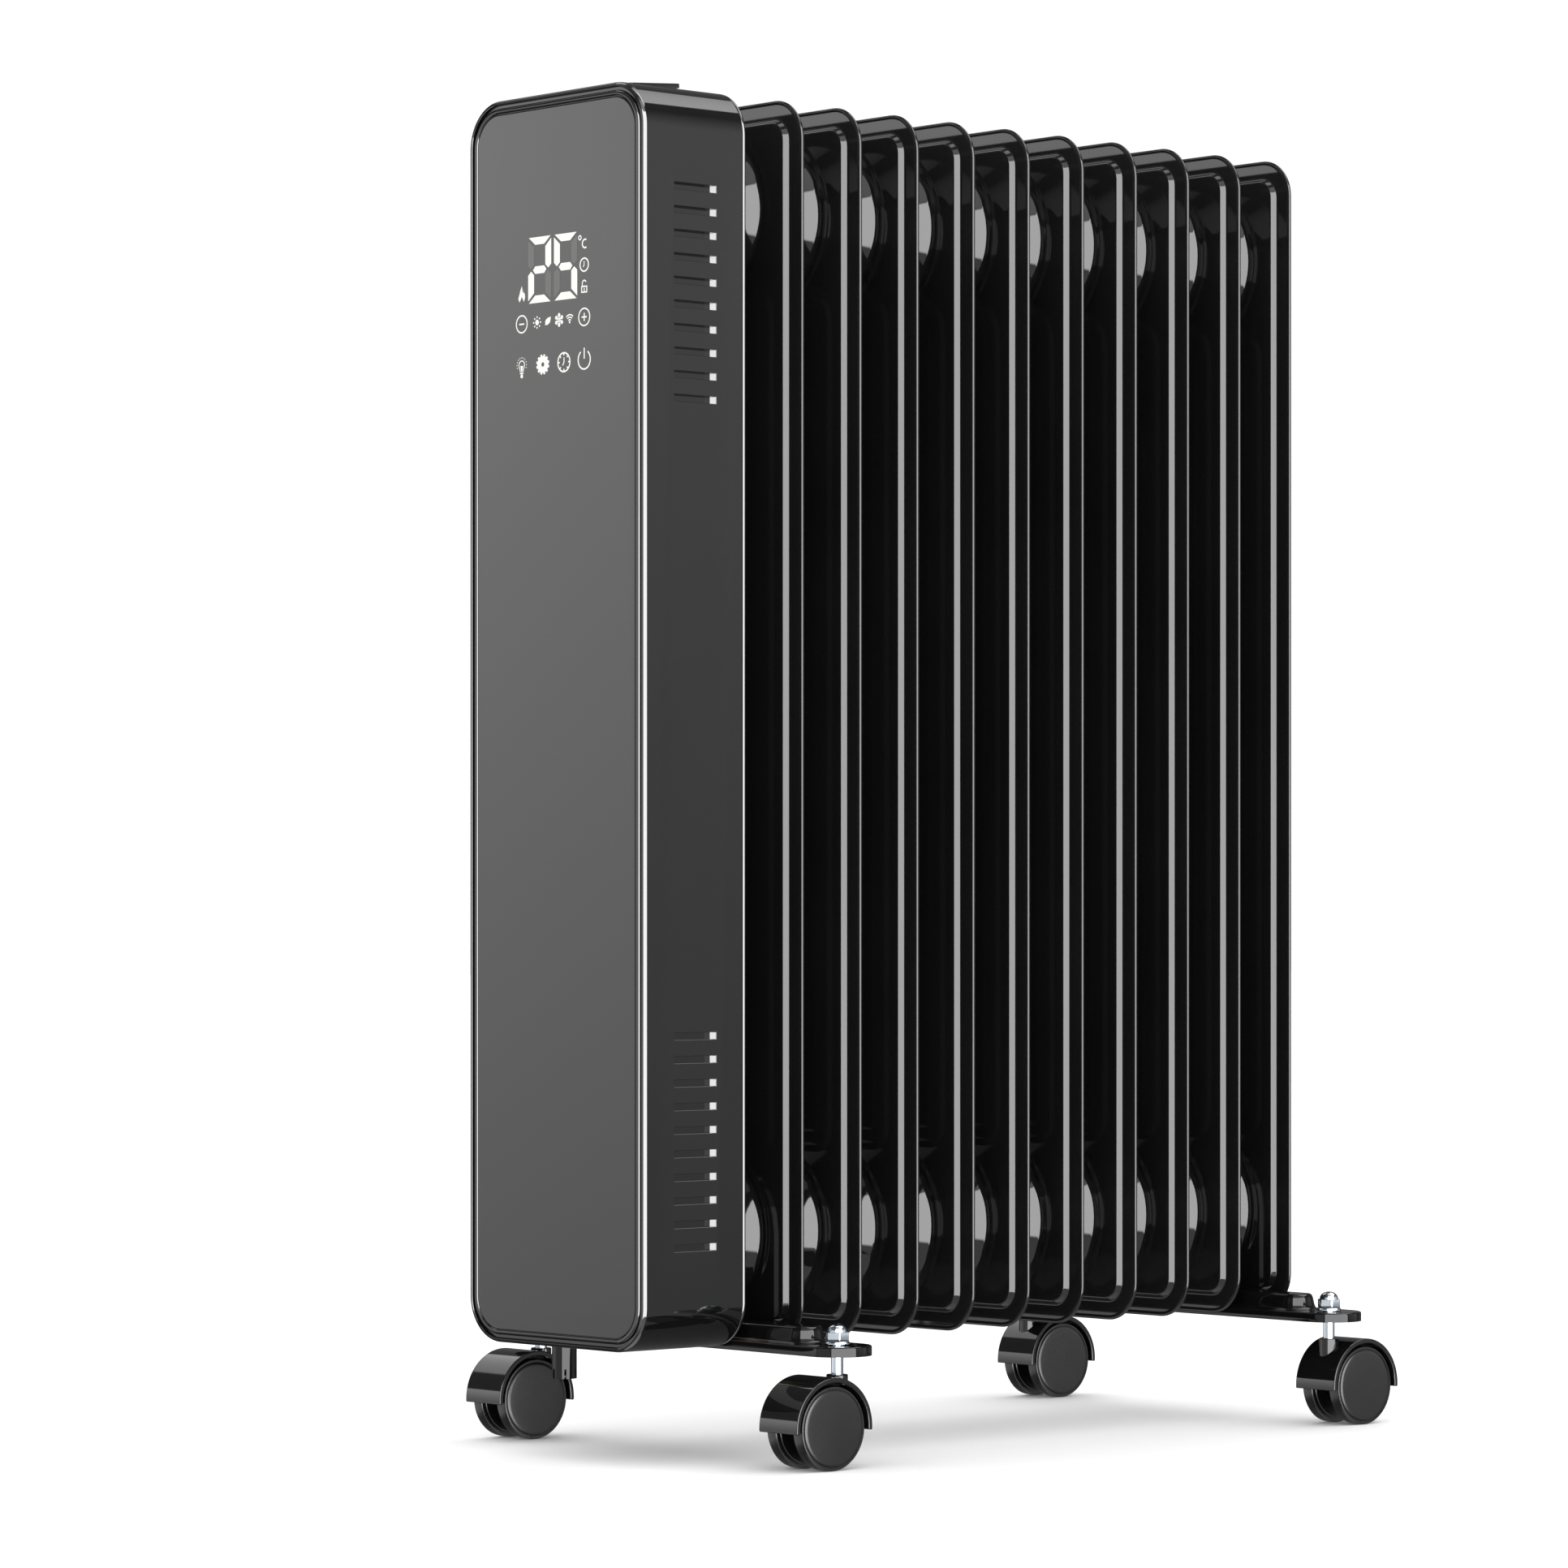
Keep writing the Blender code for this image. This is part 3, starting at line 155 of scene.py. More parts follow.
class Palette:
    """Every finish of the heater, each made once."""

    enamel = Finish("fin_enamel", (0.0095, 0.0095, 0.0098), 0.05, grain=0.003, spread=0.12)
    plastic = Finish("housing_plastic", (0.005, 0.005, 0.0051), 0.04, grain=0.002, spread=0.12)
    # The next two are copies of one black finish for the roundings of a front. The more reflective one,
    # for the right-hand rounding, is a painted highlight; the less reflective one, for the others, is a
    # painted shade.
    painted_edge_highlight = Finish("edge_painted_highlight", (0.006, 0.006, 0.0061), 0.03, specular=1.25, grain=0.002)
    shade = Finish("shaded_edge", (0.006, 0.006, 0.0061), 0.05, specular=0.12, grain=0.002)
    foot = Finish("foot_enamel", (0.0035, 0.0035, 0.0036), 0.05, specular=0.3, grain=0.003)
    satin = Finish("wheel_nylon", (0.006, 0.006, 0.0062), 0.27, grain=0.0006, relief=4e-7, spread=0.1)
    glass = Finish("front_glass", (0.012, 0.012, 0.012), 0.03, grain=0.01, spread=0.03)
    zinc = Finish("bright_zinc", (0.50, 0.55, 0.60), 0.09, metallic=1.0, grain=0.0008, spread=0.1)
    # The vent ends glow although they are no lamp: painted light.
    painted_vent_glow = Finish("vent_end_painted_glow", (0.92, 0.92, 0.92), 0.45, grain=0.001, spread=0.03, glow=0.84)
    lit = Finish("lit_symbol", (1.0, 0.985, 0.93), 0.25, spread=0.0, glow=0.90)
    unlit = Finish("unlit_symbol", (0.5, 0.5, 0.46), 0.05, spread=0.02, glow=0.09)
    brass = Finish("dull_brass", (0.30, 0.25, 0.16), 0.4, metallic=1.0, grain=0.0006)
    steel = Finish("element_sheath", (0.52, 0.52, 0.53), 0.32, metallic=1.0, grain=0.001)
    rubber = Finish("black_rubber", (0.010, 0.010, 0.010), 0.45, grain=0.0008, relief=6e-6)
    board = Finish("circuit_board", (0.015, 0.11, 0.05), 0.45, grain=0.0015)
    cream = Finish("cream_plastic", (0.72, 0.70, 0.64), 0.4, grain=0.001, relief=3e-6)
    ceramic = Finish("ceramic", (0.32, 0.30, 0.27), 0.5, grain=0.0008, relief=5e-6)
    floor = Finish("studio_floor", (0.90, 0.90, 0.90), 0.9, specular=0.0, grain=0.5, spread=0.004)
    _made: dict[str, Material] = {}

    @classmethod
    def get(cls, finish: Finish) -> Material:
        """Returns the finish's material, and makes it the first time.

        Args:
            finish: The finish.

        Returns:
            Its material.
        """
        if finish.name not in cls._made:
            cls._made[finish.name] = finish.material()
        return cls._made[finish.name]


SLOT_FINISH: dict[str, Finish] = {
    "black_enamel": Palette.enamel,
    "black_gloss_plastic": Palette.plastic,
    "black_matte_plastic": Palette.rubber,
    "wheel_nylon": Palette.satin,
    "front_glass": Palette.glass,
    "element_sheath": Palette.steel,
    "flange_brass": Palette.brass,
    "circuit_board": Palette.board,
    "display_block": Palette.cream,
    "terminal_plastic": Palette.cream,
    "cutout_ceramic": Palette.ceramic,
    "zinc_plate": Palette.zinc,
}


# Shapes that several sub-assemblies share


def in_mm(profile: Iterable[tuple[float, float]]) -> list[tuple[float, float]]:
    """Returns a profile given in millimetres in metres."""
    return [(a * MM, b * MM) for a, b in profile]


def upright() -> Matrix:
    """Returns the turn that stands a flat shape up so that its top faces the front."""
    return Matrix.Rotation(math.pi / 2, 4, "X")


def only_face(bm: BMesh) -> BMFace:
    """Turns a flat mesh's one face to +Z.

    Args:
        bm: The mesh.

    Returns:
        The face.
    """
    bm.faces.ensure_lookup_table()
    face = bm.faces[0]
    face.normal_update()
    if face.normal.z < 0:
        face.normal_flip()
    return face


def rounded_face(bm: BMesh, width: float, height: float, radius: float, segments: int) -> BMFace:
    """Adds a flat rounded rectangle that faces +Z, around the origin.

    Args:
        bm: Where the face goes. It has to be empty.
        width: Size along X.
        height: Size along Y.
        radius: Corner radius.
        segments: Steps in each corner.

    Returns:
        The face.
    """
    verts = bmesh.ops.create_grid(bm, x_segments=1, y_segments=1, size=0.5)["verts"]
    bmesh.ops.scale(bm, vec=(width, height, 1.0), verts=verts)
    bmesh.ops.bevel(
        bm,
        geom=list(bm.verts),
        offset=radius,
        offset_type="OFFSET",
        affect="VERTICES",
        segments=segments,
        profile=0.5,
        material=-1,
    )
    return only_face(bm)


def stadium_face(bm: BMesh, length: float, width: float) -> BMFace:
    """Adds a flat face with two straight sides and two round ends, around the origin.

    Args:
        bm: Where the face goes. It has to be empty.
        length: Size along X.
        width: Size along Y.

    Returns:
        The face, which faces +Z.
    """
    bmesh.ops.create_circle(bm, cap_ends=True, segments=64, radius=width / 2)
    shift = (length - width) / 2
    for vert in bm.verts:
        if abs(vert.co.x) > 1e-6:
            vert.co.x += math.copysign(shift, vert.co.x)
    return only_face(bm)


def terrace(bm: BMesh, face: BMFace, profile: Profile) -> BMFace:
    """Raises a face in steps.

    Args:
        bm: The face's mesh.
        face: The face, which the profile's first point stands for.
        profile: (inset, rise) of each step, both counted from the start and the inset never
            falling.

    Returns:
        The innermost face.
    """
    inset, rise = profile[0]
    for next_inset, next_rise in profile[1:]:
        bmesh.ops.inset_region(
            bm,
            faces=[face],
            thickness=next_inset - inset,
            depth=next_rise - rise,
            use_boundary=True,
            use_even_offset=True,
        )
        inset, rise = next_inset, next_rise
    return face


def raised(outline: Callable[[BMesh], BMFace], profile: Profile, closed: bool = True) -> BMesh:
    """Makes a plate whose edge follows a profile of (inset, rise).

    Args:
        outline: Adds the plate's outline to an empty mesh, as a face.
        profile: The edge, from the base up, with its first point at its own rise.
        closed: Whether the base gets a face of its own.

    Returns:
        The plate.
    """
    bm = bmesh.new()
    face = outline(bm)
    bmesh.ops.translate(bm, vec=(0, 0, profile[0][1]), verts=list(bm.verts))
    if closed:
        base = bmesh.ops.duplicate(bm, geom=[face])["geom"]
        bmesh.ops.reverse_faces(bm, faces=[item for item in base if isinstance(item, BMFace)])
    terrace(bm, face, profile)
    bmesh.ops.remove_doubles(bm, verts=list(bm.verts), dist=MERGE)
    return bm


def raised_stadium(length: float, width: float, profile: Profile, closed: bool = True) -> BMesh:
    """Makes a raised plate with round ends, length along X and width along Y."""
    return raised(lambda bm: stadium_face(bm, length, width), profile, closed)


def raised_plate(
    width: float, height: float, radius: float, steps: int, profile: Profile, closed: bool = True
) -> BMesh:
    """Makes a raised plate with rounded corners, width along X and height along Y."""
    return raised(lambda bm: rounded_face(bm, width, height, radius, steps), profile, closed)


def turned(profile: Profile, steps: int, centre: Vector, axis: str) -> BMesh:
    """Turns a profile into a closed solid.

    Args:
        profile: (radius, height along the axis) points. Its two ends lie on the axis, or it
            closes on itself.
        steps: Steps in a full turn.
        centre: Where the axis passes at height 0.
        axis: "X", "Y" or "Z", with "-" in front to turn the heights round.

    Returns:
        The solid.
    """
    bm = bmesh.new()
    points = [bm.verts.new((radius, 0.0, height)) for radius, height in profile]
    edges = [bm.edges.new(pair) for pair in zip(points, points[1:])]
    if profile[0][0] > 0:
        edges.append(bm.edges.new((points[-1], points[0])))
    bmesh.ops.spin(
        bm,
        geom=[*points, *edges],
        cent=(0, 0, 0),
        axis=(0, 0, 1),
        angle=math.tau,
        steps=steps,
        use_merge=True,
    )
    bmesh.ops.remove_doubles(bm, verts=list(bm.verts), dist=MERGE)
    turns = {
        "X": Matrix.Rotation(math.pi / 2, 4, "Y"),
        "-X": Matrix.Rotation(-math.pi / 2, 4, "Y"),
        "Y": Matrix.Rotation(-math.pi / 2, 4, "X"),
        "-Y": Matrix.Rotation(math.pi / 2, 4, "X"),
        "Z": Matrix.Identity(4),
    }
    bmesh.ops.transform(bm, matrix=Matrix.Translation(centre) @ turns[axis], verts=list(bm.verts))
    bmesh.ops.recalc_face_normals(bm, faces=list(bm.faces))
    return bm


def slab(points: Iterable[tuple[float, float]], near: float, far: float) -> BMesh:
    """Makes a flat slab across X from its outline.

    Args:
        points: The outline's (y, z) points.
        near: The slab's lower x.
        far: Its higher x.

    Returns:
        The slab.
    """
    bm = bmesh.new()
    ring = [bm.verts.new((near, y, z)) for y, z in points]
    face = bmesh.ops.contextual_create(bm, geom=ring)["faces"][0]
    grown = bmesh.ops.extrude_face_region(bm, geom=[face], use_keep_orig=True)["geom"]
    moved = [item for item in grown if isinstance(item, bmesh.types.BMVert)]
    bmesh.ops.translate(bm, vec=(far - near, 0, 0), verts=moved)
    bmesh.ops.recalc_face_normals(bm, faces=list(bm.faces))
    return bm


def joined(parts: Iterable[BMesh]) -> BMesh:
    """Puts several meshes into one.

    Args:
        parts: The meshes. They are freed.

    Returns:
        The whole mesh.
    """
    whole = bmesh.new()
    for part in parts:
        mesh = bpy.data.meshes.new("part")
        part.to_mesh(mesh)
        part.free()
        whole.from_mesh(mesh)
        bpy.data.meshes.remove(mesh)
    return whole


def moved(bm: BMesh, matrix: Matrix) -> BMesh:
    """Moves a whole mesh and returns it."""
    bmesh.ops.transform(bm, matrix=matrix, verts=list(bm.verts))
    return bm


def mirrored(bm: BMesh, axis: str) -> BMesh:
    """Mirrors a mesh, with its faces still pointing outwards.

    Args:
        bm: The mesh, which stays as it is.
        axis: "X", "Y" or "Z".

    Returns:
        The mirrored copy.
    """
    copy = bm.copy()
    at = {"X": 0, "Y": 1, "Z": 2}[axis]
    scale = Vector((1, 1, 1))
    scale[at] = -1
    bmesh.ops.scale(copy, vec=scale, verts=list(copy.verts))
    bmesh.ops.reverse_faces(copy, faces=list(copy.faces))
    return copy


def piece(
    name: str,
    bm: BMesh,
    finish: Finish,
    body: str = ROOT,
    nodes: Sequence[str] = (),
    smooth: float = 32.0,
    edge: Finish | None = None,
) -> Object:
    """Finishes a piece: shading, material, the body it rides on and the nodes it stands for.

    Args:
        name: The piece's name.
        bm: Its shape, in world coordinates. It is freed.
        finish: Its surface finish.
        body: The body it moves with.
        nodes: The CAD nodes that it replaces.
        smooth: Edges sharper than this many degrees stay sharp.
        edge: The finish of the rounding from its front to its right side, where that differs: a more
            reflective copy of the finish, a painted highlight;
        the rounding to its other sides then takes the shaded finish, a less reflective copy, a painted
        shade.

    Returns:
        The object.
    """
    mesh = bpy.data.meshes.new(name)
    bm.to_mesh(mesh)
    bm.free()
    mesh.shade_smooth()
    mesh.set_sharp_from_angle(angle=math.radians(smooth))
    mesh.materials.append(Palette.get(finish))
    # Painted highlight and shade: the rounding towards the right takes the more reflective copy, and the
    # other roundings take the less reflective one.
    if edge:
        mesh.materials.append(Palette.get(edge))
        mesh.materials.append(Palette.get(Palette.shade))
        for polygon in mesh.polygons:
            normal = polygon.normal
            if ROUNDING[0] < normal.y < ROUNDING[1]:
                polygon.material_index = 1 if normal.x > TOWARDS_RIGHT else 2
    item = bpy.data.objects.new(name, mesh)
    bpy.context.scene.collection.objects.link(item)
    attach(item, body)
    if nodes:
        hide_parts(*nodes)
    log.info("%s: %d faces, rides on %s", name, len(mesh.polygons), body)
    return item


def soften(item: Object, width: float, segments: int = 2) -> Object:
    """Rounds a piece's sharp edges.

    Args:
        item: The piece.
        width: Width of the rounding.
        segments: Steps in it.

    Returns:
        The same piece.
    """
    bevel = item.modifiers.new("edges", "BEVEL")
    bevel.width = width
    bevel.segments = segments
    bevel.limit_method = "ANGLE"
    bevel.angle_limit = math.radians(35)
    bevel.harden_normals = True
    return item


def refined(node: str, finish: Finish, width: float = 0.0003, body: str = ROOT) -> Object:
    """Copies a CAD node, closes its loose triangles and rounds its edges.

    Args:
        node: The node.
        finish: Its surface finish.
        width: Width of the rounding.
        body: The body it moves with.

    Returns:
        The new piece, which replaces the node.
    """
    bm = bmesh.new()
    bm.from_mesh(frame["nodes"][node].data)
    bmesh.ops.remove_doubles(bm, verts=list(bm.verts), dist=2e-6)
    bmesh.ops.dissolve_limit(
        bm, angle_limit=math.radians(0.5), verts=list(bm.verts), edges=list(bm.edges)
    )
    item = piece(f"{node}_finished", bm, finish, body, [node])
    return soften(item, width) if width else item


# Sub-assemblies


@dataclass
class FinStack:
    """The ten pressed fins, each two plates welded at a hemmed rim and pierced by two hubs."""

    count: int = 10
    corner: float = 19.9 * MM
    corner_steps: int = 14
    hub_steps: int = 72
    pressed_width: float = 97.4 * MM
    pressed_height: float = 418.0 * MM
    pressed_corner: float = 12.0 * MM
    pressed_steps: int = 10
    rim: Profile = (
        (0.0, 0.0), (0.05, 0.35), (0.20, 0.65), (0.50, 0.86), (0.90, 0.90), (1.30, 0.86),
        (1.62, 0.68), (1.80, 0.58), (2.05, 0.55), (2.50, 0.55), (8.70, 0.55), (9.20, 0.55),
        (9.50, 0.66), (9.66, 0.86), (10.80, 3.05), (10.98, 3.27), (11.30, 3.40), (11.80, 3.42),
        (12.50, 3.42),
    )
    pressed: Profile = (
        (0.0, 3.0), (0.0, 3.42), (0.45, 3.45), (1.00, 3.60), (2.50, 4.20), (3.10, 4.36),
        (3.80, 4.40), (9.60, 4.40), (10.1, 4.44), (11.1, 4.68), (11.8, 4.72),
    )
    hub_foot: ClassVar[Profile] = (
        (0.0, 3.0), (45.2, 3.0), (45.2, 3.43), (44.7, 3.47), (43.9, 3.72), (43.2, 3.84),
        (42.6, 3.86), (41.2, 3.87), (40.3, 3.95), (39.8, 4.18), (39.3, 4.62), (38.7, 5.25),
    )
    hub: Profile = (
        *hub_foot, (32.3, 13.6), (31.0, 15.0), (29.7, 16.1), (28.6, 17.2), (28.1, 18.2),
        (28.1, 18.8), (0.0, 18.8),
    )
    cap: Profile = (
        *hub_foot, (36.3, 8.0), (35.2, 9.1), (33.8, 9.8), (32.2, 9.98), (30.6, 10.0), (0.0, 10.0),
    )

    def __post_init__(self) -> None:
        """Reads the fins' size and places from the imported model."""
        low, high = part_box("fin_02")
        self.width = high.x - low.x
        self.height = high.z - low.z
        self.middle = (low.z + high.z) / 2
        self.reach = (high.y - low.y) / 2
        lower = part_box("element_flange")
        self.lower_hub = (lower[0].z + lower[1].z) / 2
        self.upper_hub = 2 * self.middle - self.lower_hub

    def place(self, index: int) -> float:
        """Returns the y of a fin's middle plane."""
        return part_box(f"fin_{index + 1:02d}")[0].y + self.reach

    def half(self, hub: Profile) -> BMesh:
        """Makes the half of a fin that faces the front, around the fin's middle plane.

        Args:
            hub: The profile of its two hubs.

        Returns:
            The half, with its rim on y = 0.
        """
        plate = raised_plate(
            self.width, self.height, self.corner, self.corner_steps, in_mm(self.rim), closed=False
        )
        pressed = raised_plate(
            self.pressed_width,
            self.pressed_height,
            self.pressed_corner,
            self.pressed_steps,
            in_mm(self.pressed),
        )
        whole = moved(joined([plate, pressed]), upright())
        moved(whole, Matrix.Translation((0, 0, self.middle)))
        hubs = [
            turned(in_mm(hub), self.hub_steps, Vector((0, 0, z)), "-Y")
            for z in (self.lower_hub, self.upper_hub)
        ]
        return joined([whole, *hubs])

    def build(self) -> None:
        """Makes the fins."""
        for index in range(self.count):
            last = index == self.count - 1
            front = self.half(self.hub)
            rear_source = self.half(self.cap if last else self.hub)
            rear = mirrored(rear_source, "Y")
            rear_source.free()
            whole = joined([front, rear])
            bmesh.ops.remove_doubles(whole, verts=list(whole.verts), dist=MERGE)
            moved(whole, Matrix.Translation((0, self.place(index), 0)))
            name = f"fin_{index + 1:02d}"
            piece(f"{name}_pressed", whole, Palette.enamel, nodes=[name], smooth=40)


@dataclass
class ControlBox:
    """The tall box in front of the fins: shell, bezel, glass, back plate, cover and cage."""

    corner: float = 22.0 * MM
    corner_steps: int = 20
    vent_count: int = 10
    vent_pitch: float = 11.1 * MM
    vent_length: float = 26.4 * MM
    vent_height: float = 3.65 * MM
    vent_depth: float = 4.0 * MM
    vent_margin: float = 49.2 * MM
    vent_middle: float = 31.9 * MM
    louvre: float = 0.4 * MM
    bezel_inset: float = 3.7       # millimetres, like the profiles
    glass_inset: float = 6.7
    seam_inset: float = 0.9
    plate_middle: float = 63.05
    plate_roll: float = 1.04
    plate_roll_steps: int = 6
    shell_front: Profile = (
        (0.0, -61.5), (0.0, -61.0), (0.0, -2.80), (0.0, -2.30), (0.04, -1.90), (0.15, -1.46),
        (0.34, -1.03), (0.60, -0.66), (0.92, -0.36), (1.28, -0.16), (1.48, -0.10), (1.52, -0.34),
        (1.64, -0.34), (1.70, -0.14), (1.95, -0.06), (2.20, -0.14), (2.38, -0.40), (2.45, -1.60),
    )
    bezel_front: Profile = (
        (0.0, -6.0), (0.0, -1.60), (0.06, -1.18), (0.23, -0.78), (0.50, -0.45), (0.86, -0.20),
        (1.28, -0.06), (1.70, -0.03), (2.10, -0.06), (2.45, -0.26), (2.66, -0.55), (2.76, -1.10),
    )

    def __post_init__(self) -> None:
        """Reads the box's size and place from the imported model."""
        low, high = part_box("housing_shell")
        self.width = high.x - low.x
        self.height = high.z - low.z
        self.low = low.z
        self.high = high.z
        self.middle = (low.z + high.z) / 2
        self.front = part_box("front_bezel")[0].y

    def stand(self, bm: BMesh) -> BMesh:
        """Stands a plate up in the box's front plane and returns it."""
        return moved(bm, Matrix.Translation((0, self.front, self.middle)) @ upright())

    def plate(self, inset: float, profile: Profile, closed: bool = True) -> BMesh:
        """Makes a plate with the box's outline.

        Args:
            inset: How much smaller than the box it is, all round, in millimetres.
            profile: Its edge, in millimetres, with the rise counted from the glass front.
            closed: Whether its base gets a face of its own.

        Returns:
            The plate, standing in place.
        """
        width = self.width - 2 * inset * MM
        height = self.height - 2 * inset * MM
        radius = self.corner - inset * MM
        bm = raised_plate(width, height, radius, self.corner_steps, in_mm(profile), closed)
        return self.stand(bm)

    def vent_heights(self) -> list[float]:
        """Returns the heights of the vents' centres."""
        offsets = [self.vent_margin + index * self.vent_pitch for index in range(self.vent_count)]
        return [self.low + offset for offset in offsets] + [self.high - offset for offset in offsets]

    def cut_vents(self, bm: BMesh) -> None:
        """Sinks the vents into both flat sides of the shell.

        Args:
            bm: The shell.
        """
        ends = [
            self.front + self.vent_middle + way * self.vent_length / 2 for way in (-1, 1)
        ]

        def flanks() -> list[BMFace]:
            """Returns the faces of the shell's two flat sides."""
            return [face for face in bm.faces if abs(face.normal.x) > 0.9999]

        def split(faces: list[BMFace], place: Vector, normal: Vector) -> None:
            """Cuts some faces along a plane through a place, square to a normal."""
            parts = {item for face in faces for item in (face, *face.edges, *face.verts)}
            bmesh.ops.bisect_plane(bm, geom=list(parts), plane_co=place, plane_no=normal)

        bm.normal_update()
        for y in ends:
            split(flanks(), Vector((0, y, 0)), Vector((0, 1, 0)))
        for z in self.vent_heights():
            for way in (-1, 1):
                column = [
                    face
                    for face in flanks()
                    if ends[0] < face.calc_center_median().y < ends[1]
                ]
                edge = z + way * self.vent_height / 2
                split(column, Vector((0, 0, edge)), Vector((0, 0, 1)))
        heights = self.vent_heights()
        pockets = [
            face
            for face in flanks()
            if ends[0] < face.calc_center_median().y < ends[1]
            and any(abs(face.calc_center_median().z - z) < self.vent_height / 4 for z in heights)
        ]
        for thickness, depth in ((0.12, -0.12), (0.05, -3.9)):
            bmesh.ops.inset_individual(
                bm, faces=pockets, thickness=thickness * MM, depth=depth * MM, use_even_offset=True
            )

    def shell(self) -> None:
        """Makes the wrap-around shell with its vents."""
        bm = self.plate(0.0, self.shell_front)
        self.cut_vents(bm)
        node = ["housing_shell"]
        piece("shell_moulded", bm, Palette.plastic, nodes=node, smooth=35, edge=Palette.painted_edge_highlight)

    def louvres(self) -> None:
        """Makes the blocks at the rear ends of the vents. They glow: painted light for the brightness at
        the vent ends.
        """
        rear = self.front + self.vent_middle + self.vent_length / 2 - 0.2 * MM
        parts = []
        for side in Side:
            for z in self.vent_heights():
                outer = side.value * (self.width / 2 - 0.25 * MM)
                inner = side.value * (self.width / 2 - self.vent_depth)
                half = self.vent_height / 2 - 0.22 * MM
                front = rear - self.louvre
                outline = [(front, z - half), (rear, z - half), (rear, z + half), (front, z + half)]
                parts.append(slab(outline, min(outer, inner), max(outer, inner)))
        piece("vent_ends_painted_glow", joined(parts), Palette.painted_vent_glow)

    def bezel(self) -> None:
        """Makes the frame between the shell and the glass."""
        bm = self.plate(self.bezel_inset, self.bezel_front)
        node = ["front_bezel"]
        piece("bezel_moulded", bm, Palette.plastic, nodes=node, smooth=45, edge=Palette.painted_edge_highlight)

    def glass(self) -> None:
        """Makes the tempered glass with its ground edge."""
        edge = ((0.0, -3.2), (0.0, -0.75), (0.12, -0.52), (0.35, -0.42), (0.8, -0.40))
        bm = self.plate(self.glass_inset, edge)
        piece("glass_ground", bm, Palette.glass, nodes=["glass_panel"], smooth=35)

    def back(self) -> None:
        """Makes the back plate with its rolled edge, and the dark seam in front of it."""
        seam = self.plate(self.seam_inset, ((0.0, -62.6), (0.0, -61.3)))
        steps = self.plate_roll_steps
        turns = [math.pi / 2 * step / steps for step in range(steps + 1)]
        roll = self.plate_roll
        edge = [
            (roll * (1 - math.cos(turn)), roll * math.sin(turn) - self.plate_middle)
            for turn in turns
        ]
        edge.append((1.7, roll - self.plate_middle))
        middle = Matrix.Translation((0, self.front + self.plate_middle * MM, 0))
        front_half = moved(self.plate(0.0, edge, closed=False), middle.inverted())
        rolled_plate = joined([mirrored(front_half, "Y"), front_half])
        bmesh.ops.remove_doubles(rolled_plate, verts=list(rolled_plate.verts), dist=MERGE)
        bm = joined([seam, moved(rolled_plate, middle)])
        node = ["back_plate"]
        piece("back_plate_rolled", bm, Palette.enamel, nodes=node, smooth=45, edge=Palette.painted_edge_highlight)

    def cover(self) -> None:
        """Makes the thin cover that rises from the top of the box towards the back."""
        low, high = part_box("top_cover")
        thickness = 2.1 * MM
        length = high.y - low.y
        profile = (
            (0.0, -thickness),
            (0.0, -0.35 * MM),
            (0.10 * MM, -0.12 * MM),
            (0.35 * MM, 0.0),
            (0.8 * MM, 0.0),
        )
        bm = raised_plate(high.x - low.x, length, 2.0 * MM, 6, profile)
        slope = (high.z - low.z - 0.35 * MM) / length
        shear = Matrix.Identity(4)
        shear[2][1] = slope
        middle = Vector((0, (low.y + high.y) / 2, high.z - slope * length / 2))
        moved(bm, Matrix.Translation(middle) @ shear)
        piece("cover_moulded", bm, Palette.plastic, nodes=["top_cover"], smooth=40)

    def cage(self) -> None:
        """Makes the slotted sensor cage under the box."""
        low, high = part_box("sensor_cage")
        centre = (low + high) / 2
        radius = 6.05 * MM
        steps = 36
        slot_count = 6
        slot_height = 4.7 * MM
        bm = bmesh.new()
        ring = bmesh.ops.create_circle(bm, cap_ends=False, segments=steps, radius=radius)["verts"]
        edges = list(bm.edges)
        bmesh.ops.translate(bm, vec=(centre.x, centre.y, low.z), verts=ring)
        for rise in (slot_height, 1.0 * MM, 10.0 * MM):
            grown = bmesh.ops.extrude_edge_only(bm, edges=edges)["geom"]
            edges = [item for item in grown if isinstance(item, bmesh.types.BMEdge)]
            verts = [item for item in grown if isinstance(item, bmesh.types.BMVert)]
            bmesh.ops.translate(bm, vec=(0, 0, rise), verts=verts)
            edges = [edge for edge in edges if all(vert in verts for vert in edge.verts)]
        slots = []
        for face in bm.faces:
            at = face.calc_center_median()
            turn = math.atan2(at.y - centre.y, at.x - centre.x) / math.tau * steps
            if at.z < low.z + slot_height and round(turn - 0.5) % (steps // slot_count) == 2:
                slots.append(face)
        bmesh.ops.delete(bm, geom=slots, context="FACES")
        bmesh.ops.recalc_face_normals(bm, faces=list(bm.faces))
        bmesh.ops.solidify(bm, geom=list(bm.faces), thickness=1.2 * MM)
        piece("cage_slotted", bm, Palette.foot, nodes=["sensor_cage"], smooth=40)

    def build(self) -> None:
        """Makes every visible piece of the box."""
        self.shell()
        self.louvres()
        self.bezel()
        self.glass()
        self.back()
        self.cover()
        self.cage()


